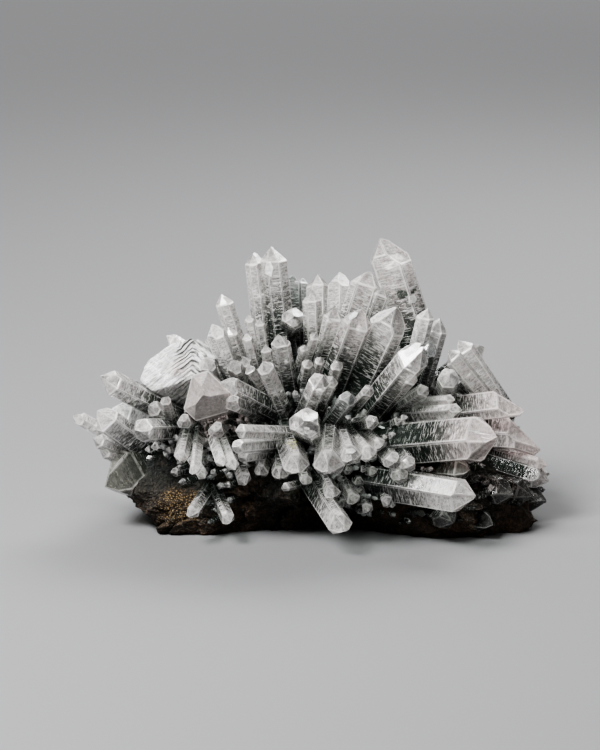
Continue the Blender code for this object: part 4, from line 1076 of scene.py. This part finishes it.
# Painted highlights where facets of the front reflect the lamps, and the thin streaks of the great point's
# bright veil
# Pale tiles of the front: across, up, half lengths along and across, and lean in degrees
HIGHLIGHT_AND_VEIL_FACETS = (
    (-9.3, 31.8, 2.3, 1.2, 8.0), (33.8, 22.7, 1.7, 1.2, 80.0), (16.0, 17.9, 1.7, 0.8, 55.0),
    (33.8, 7.8, 3.0, 1.3, 50.0), (-13.2, 36.0, 1.0, 0.9, 0.0), (15.2, -22.8, 1.8, 0.8, 75.0),
    (54.5, -17.6, 2.6, 0.22, 98.0), (52.0, -16.9, 1.8, 0.14, 92.0), (55.6, -18.9, 1.5, 0.12, 104.0),
    (-44.5, -17.4, 1.5, 0.8, 80.0), (24.6, -15.6, 1.4, 0.5, 130.0),
    (18.8, -34.2, 1.2, 0.6, 10.0), (20.3, -43.0, 0.8, 0.6, 0.0), (-35.2, -3.0, 1.6, 2.2, 40.0),
)
# Clots of yellowish and of dark green chlorite in the front: across, up, spread, number
YELLOW_CLOTS = ((-2.6, -20.2, 1.7, 26), (-1.2, -21.6, 1.0, 10))
CLOTS = ((30.6, 24.3, 1.6, 34), (34.0, 25.2, 0.9, 12), (-2.2, 28.5, 1.0, 12), (-36.4, 16.0, 1.2, 8),
         (39.0, 4.0, 2.0, 20), (-32.4, -17.0, 1.6, 16), (-36.0, 2.0, 1.2, 10))

vertices, faces = joined(surfaces)
tree = BVHTree.FromPolygons(vertices.tolist(), [face for group in faces for face in group.tolist()])
eye = VIEW_CENTRE - AHEAD * VIEW_DISTANCE - ORIGIN


def on_surface(marks):
    """Nearest places of the big points' surfaces on the sight lines of marks, their directions, and which marks
    have one."""
    ends = seen([(*mark, 0.0) for mark in marks])
    hits = [tree.ray_cast(Vector(eye), Vector(unit(end - eye))) for end in ends]
    found = np.array([hit[0] is not None for hit in hits])
    return (*(np.array([hit[k] for hit in hits if hit[0] is not None]) for k in (0, 1)), found)


# Lay the pale tiles on the big points' surfaces: painted highlights, and the veil's streaks
places, normals, found = on_surface([row[:2] for row in HIGHLIGHT_AND_VEIL_FACETS])
rows = np.array(HIGHLIGHT_AND_VEIL_FACETS)[found]
lean = np.radians(rows[:, 4])
up = np.stack([np.sin(lean), np.zeros(len(rows)), np.cos(lean)], axis=1)
side = unit(np.cross(up, normals))
frames = np.stack([side, np.cross(normals, side), normals], axis=1)
tile = np.array([(-0.9, -0.7, 0.0), (0.9, -1.0, 0.0), (1.0, 0.3, 0.0), (0.1, 1.0, 0.0), (-1.0, 0.6, 0.0)])
tile = np.concatenate([tile * (0.96, 0.96, 0.0) + (0.0, 0.0, 1.0), tile - (0.0, 0.0, 1.0)])
ring, after = np.arange(5), (np.arange(5) + 1) % 5
tile_faces = [ring[None], (ring[::-1] + 5)[None], np.stack([ring + 5, after + 5, after, ring], axis=1)]
sizes = np.stack([rows[:, 3], rows[:, 2], np.full(len(rows), 0.06)], axis=1)
piece("highlight_and_veil_facets", CRACK_AND_HIGHLIGHT_FINISH, "milky_quartz", *repeated(tile, tile_faces, places, frames, sizes), weld=0)

for name, finish, clots, salt in (("chlorite_clots", CHLORITE, CLOTS, 0.0),
                                  ("yellow_clots", OCHRE, YELLOW_CLOTS, 30.0)):
    marks = []
    for number, (across, up, spread, count) in enumerate(clots):
        seed = 5000.0 + salt + 100.0 * number + np.arange(count)
        angle, off = math.pi * chance(seed, 151), spread * np.sqrt(odds(seed, 152))
        marks.append(np.stack([across + off * np.cos(angle), up + 0.7 * off * np.sin(angle)], axis=1))
    places, normals, _ = on_surface(np.concatenate(marks))
    seed = 6000.0 + salt + np.arange(len(places))
    flakes(name, finish, places, normals, seed, 0.30 + 0.30 * odds(seed, 153) ** 2, 0.25)

piece("rock_matrix", rock_finish(), "rock", *rock_surface(), replaced="rock")

# Druse, darker where the right end is shaded
directions = spread_directions(5200, 81.0)
seed = 1000.0 + np.arange(len(directions))
ground = over_rock(directions, -0.6)
keep = (bare_rock(ground) < 0.5 + 0.5 * chance(seed, 82)) & (chance(seed, 83) > -0.55)
directions, ground, seed = directions[keep], ground[keep], seed[keep]
toward = directions * 0.7 + unit(ground - (DRUSE_FAN - ORIGIN)) * 0.5
shaded = (ground[:, 0] > 27.0) & (marks_of(ground)[:, 1] < -29.0) & (ground[:, 1] < 12.0)
for name, finish, part in (("druse", "druse", ~shaded), ("druse_dark", "dark", shaded)):
    some = sprouts(ground[part], toward[part], seed[part], 84, (0.42, (0.0, 0.0, 0.5)), (2.4, 4.2, 2.5), 1.0,
                   (0.75, 0.30, 0.6, 0.3), (0.55, 0.35, 0.5, 0.4))
    crystals(name, finish, tiny_solid(some), "rock", weld=0)

# Chlorite flakes
directions = spread_directions(7000, 91.0)
seed = 9000.0 + np.arange(len(directions))
ground = over_rock(directions, 0.2)
keep = ground[:, 2] > 0.8
directions, ground, seed = directions[keep], ground[keep], seed[keep]
flakes("chlorite_flakes", CHLORITE, ground, unit(directions + 0.8 * chances(seed, 93)), seed,
       0.18 + 0.35 * odds(seed, 92) ** 3, 0.35)


# Floor, lamps and camera

def placed(name, data, place=(0.0, 0.0, 0.0), ahead=None):
    """Object in the scene, which looks ahead if a direction is given."""
    item = bpy.data.objects.new(name, data)
    item.location = place
    if ahead is not None:
        item.rotation_euler = Vector(ahead).to_track_quat("-Z", "Y").to_euler()
    bpy.context.scene.collection.objects.link(item)
    return item


FLOOR_REACH = 6.0
floor_corners = [(FLOOR_REACH * x, FLOOR_REACH * y, 0) for x, y in ((-1, -1), (1, -1), (1, 1), (-1, 1))]
floor_mesh = bpy.data.meshes.new("floor")
floor_mesh.from_pydata(floor_corners, [], [(0, 1, 2, 3)])
floor_mesh.materials.append(plain_finish("floor", (0.22, 0.22, 0.225), 0.9))
placed("floor", floor_mesh)

# Soft rectangular lamps: place, aim and size in metres, and watts
for name, place, aim, size, power in (
        ("key", (-0.35, -0.30, 0.60), (0.0, 0.0, 0.03), (0.30, 0.24), 9.6),
        ("fill", (0.75, -0.55, 0.30), (0.0, 0.0, 0.03), (0.35, 0.35), 1.1),
        ("rim", (0.25, 0.45, 0.55), (0.0, 0.0, 0.03), (0.40, 0.25), 3.8),
        ("far_floor", (0.0, 1.5, 1.1), (0.0, 1.6, 0.0), (2.6, 1.2), 24.0)):
    lamp = bpy.data.lights.new(name, "AREA")
    lamp.shape = "RECTANGLE"
    lamp.size, lamp.size_y = size
    lamp.energy = power
    placed(name, lamp, place, Vector(aim) - Vector(place))

world = bpy.data.worlds.new("studio")
world.use_nodes = True
wired(world.node_tree.nodes["Background"], i0=(0.75, 0.77, 0.8, 1.0), i1=0.04)
bpy.context.scene.world = world
bpy.context.scene.view_settings.look = "AgX - High Contrast"

camera_data = bpy.data.cameras.new("camera")
camera_data.sensor_width = SENSOR
camera_data.lens = SENSOR * VIEW_DISTANCE / VIEW_HEIGHT
camera_data.clip_start, camera_data.clip_end = 0.01, 50.0
bpy.context.scene.camera = placed("camera", camera_data, eye * MM, AHEAD)
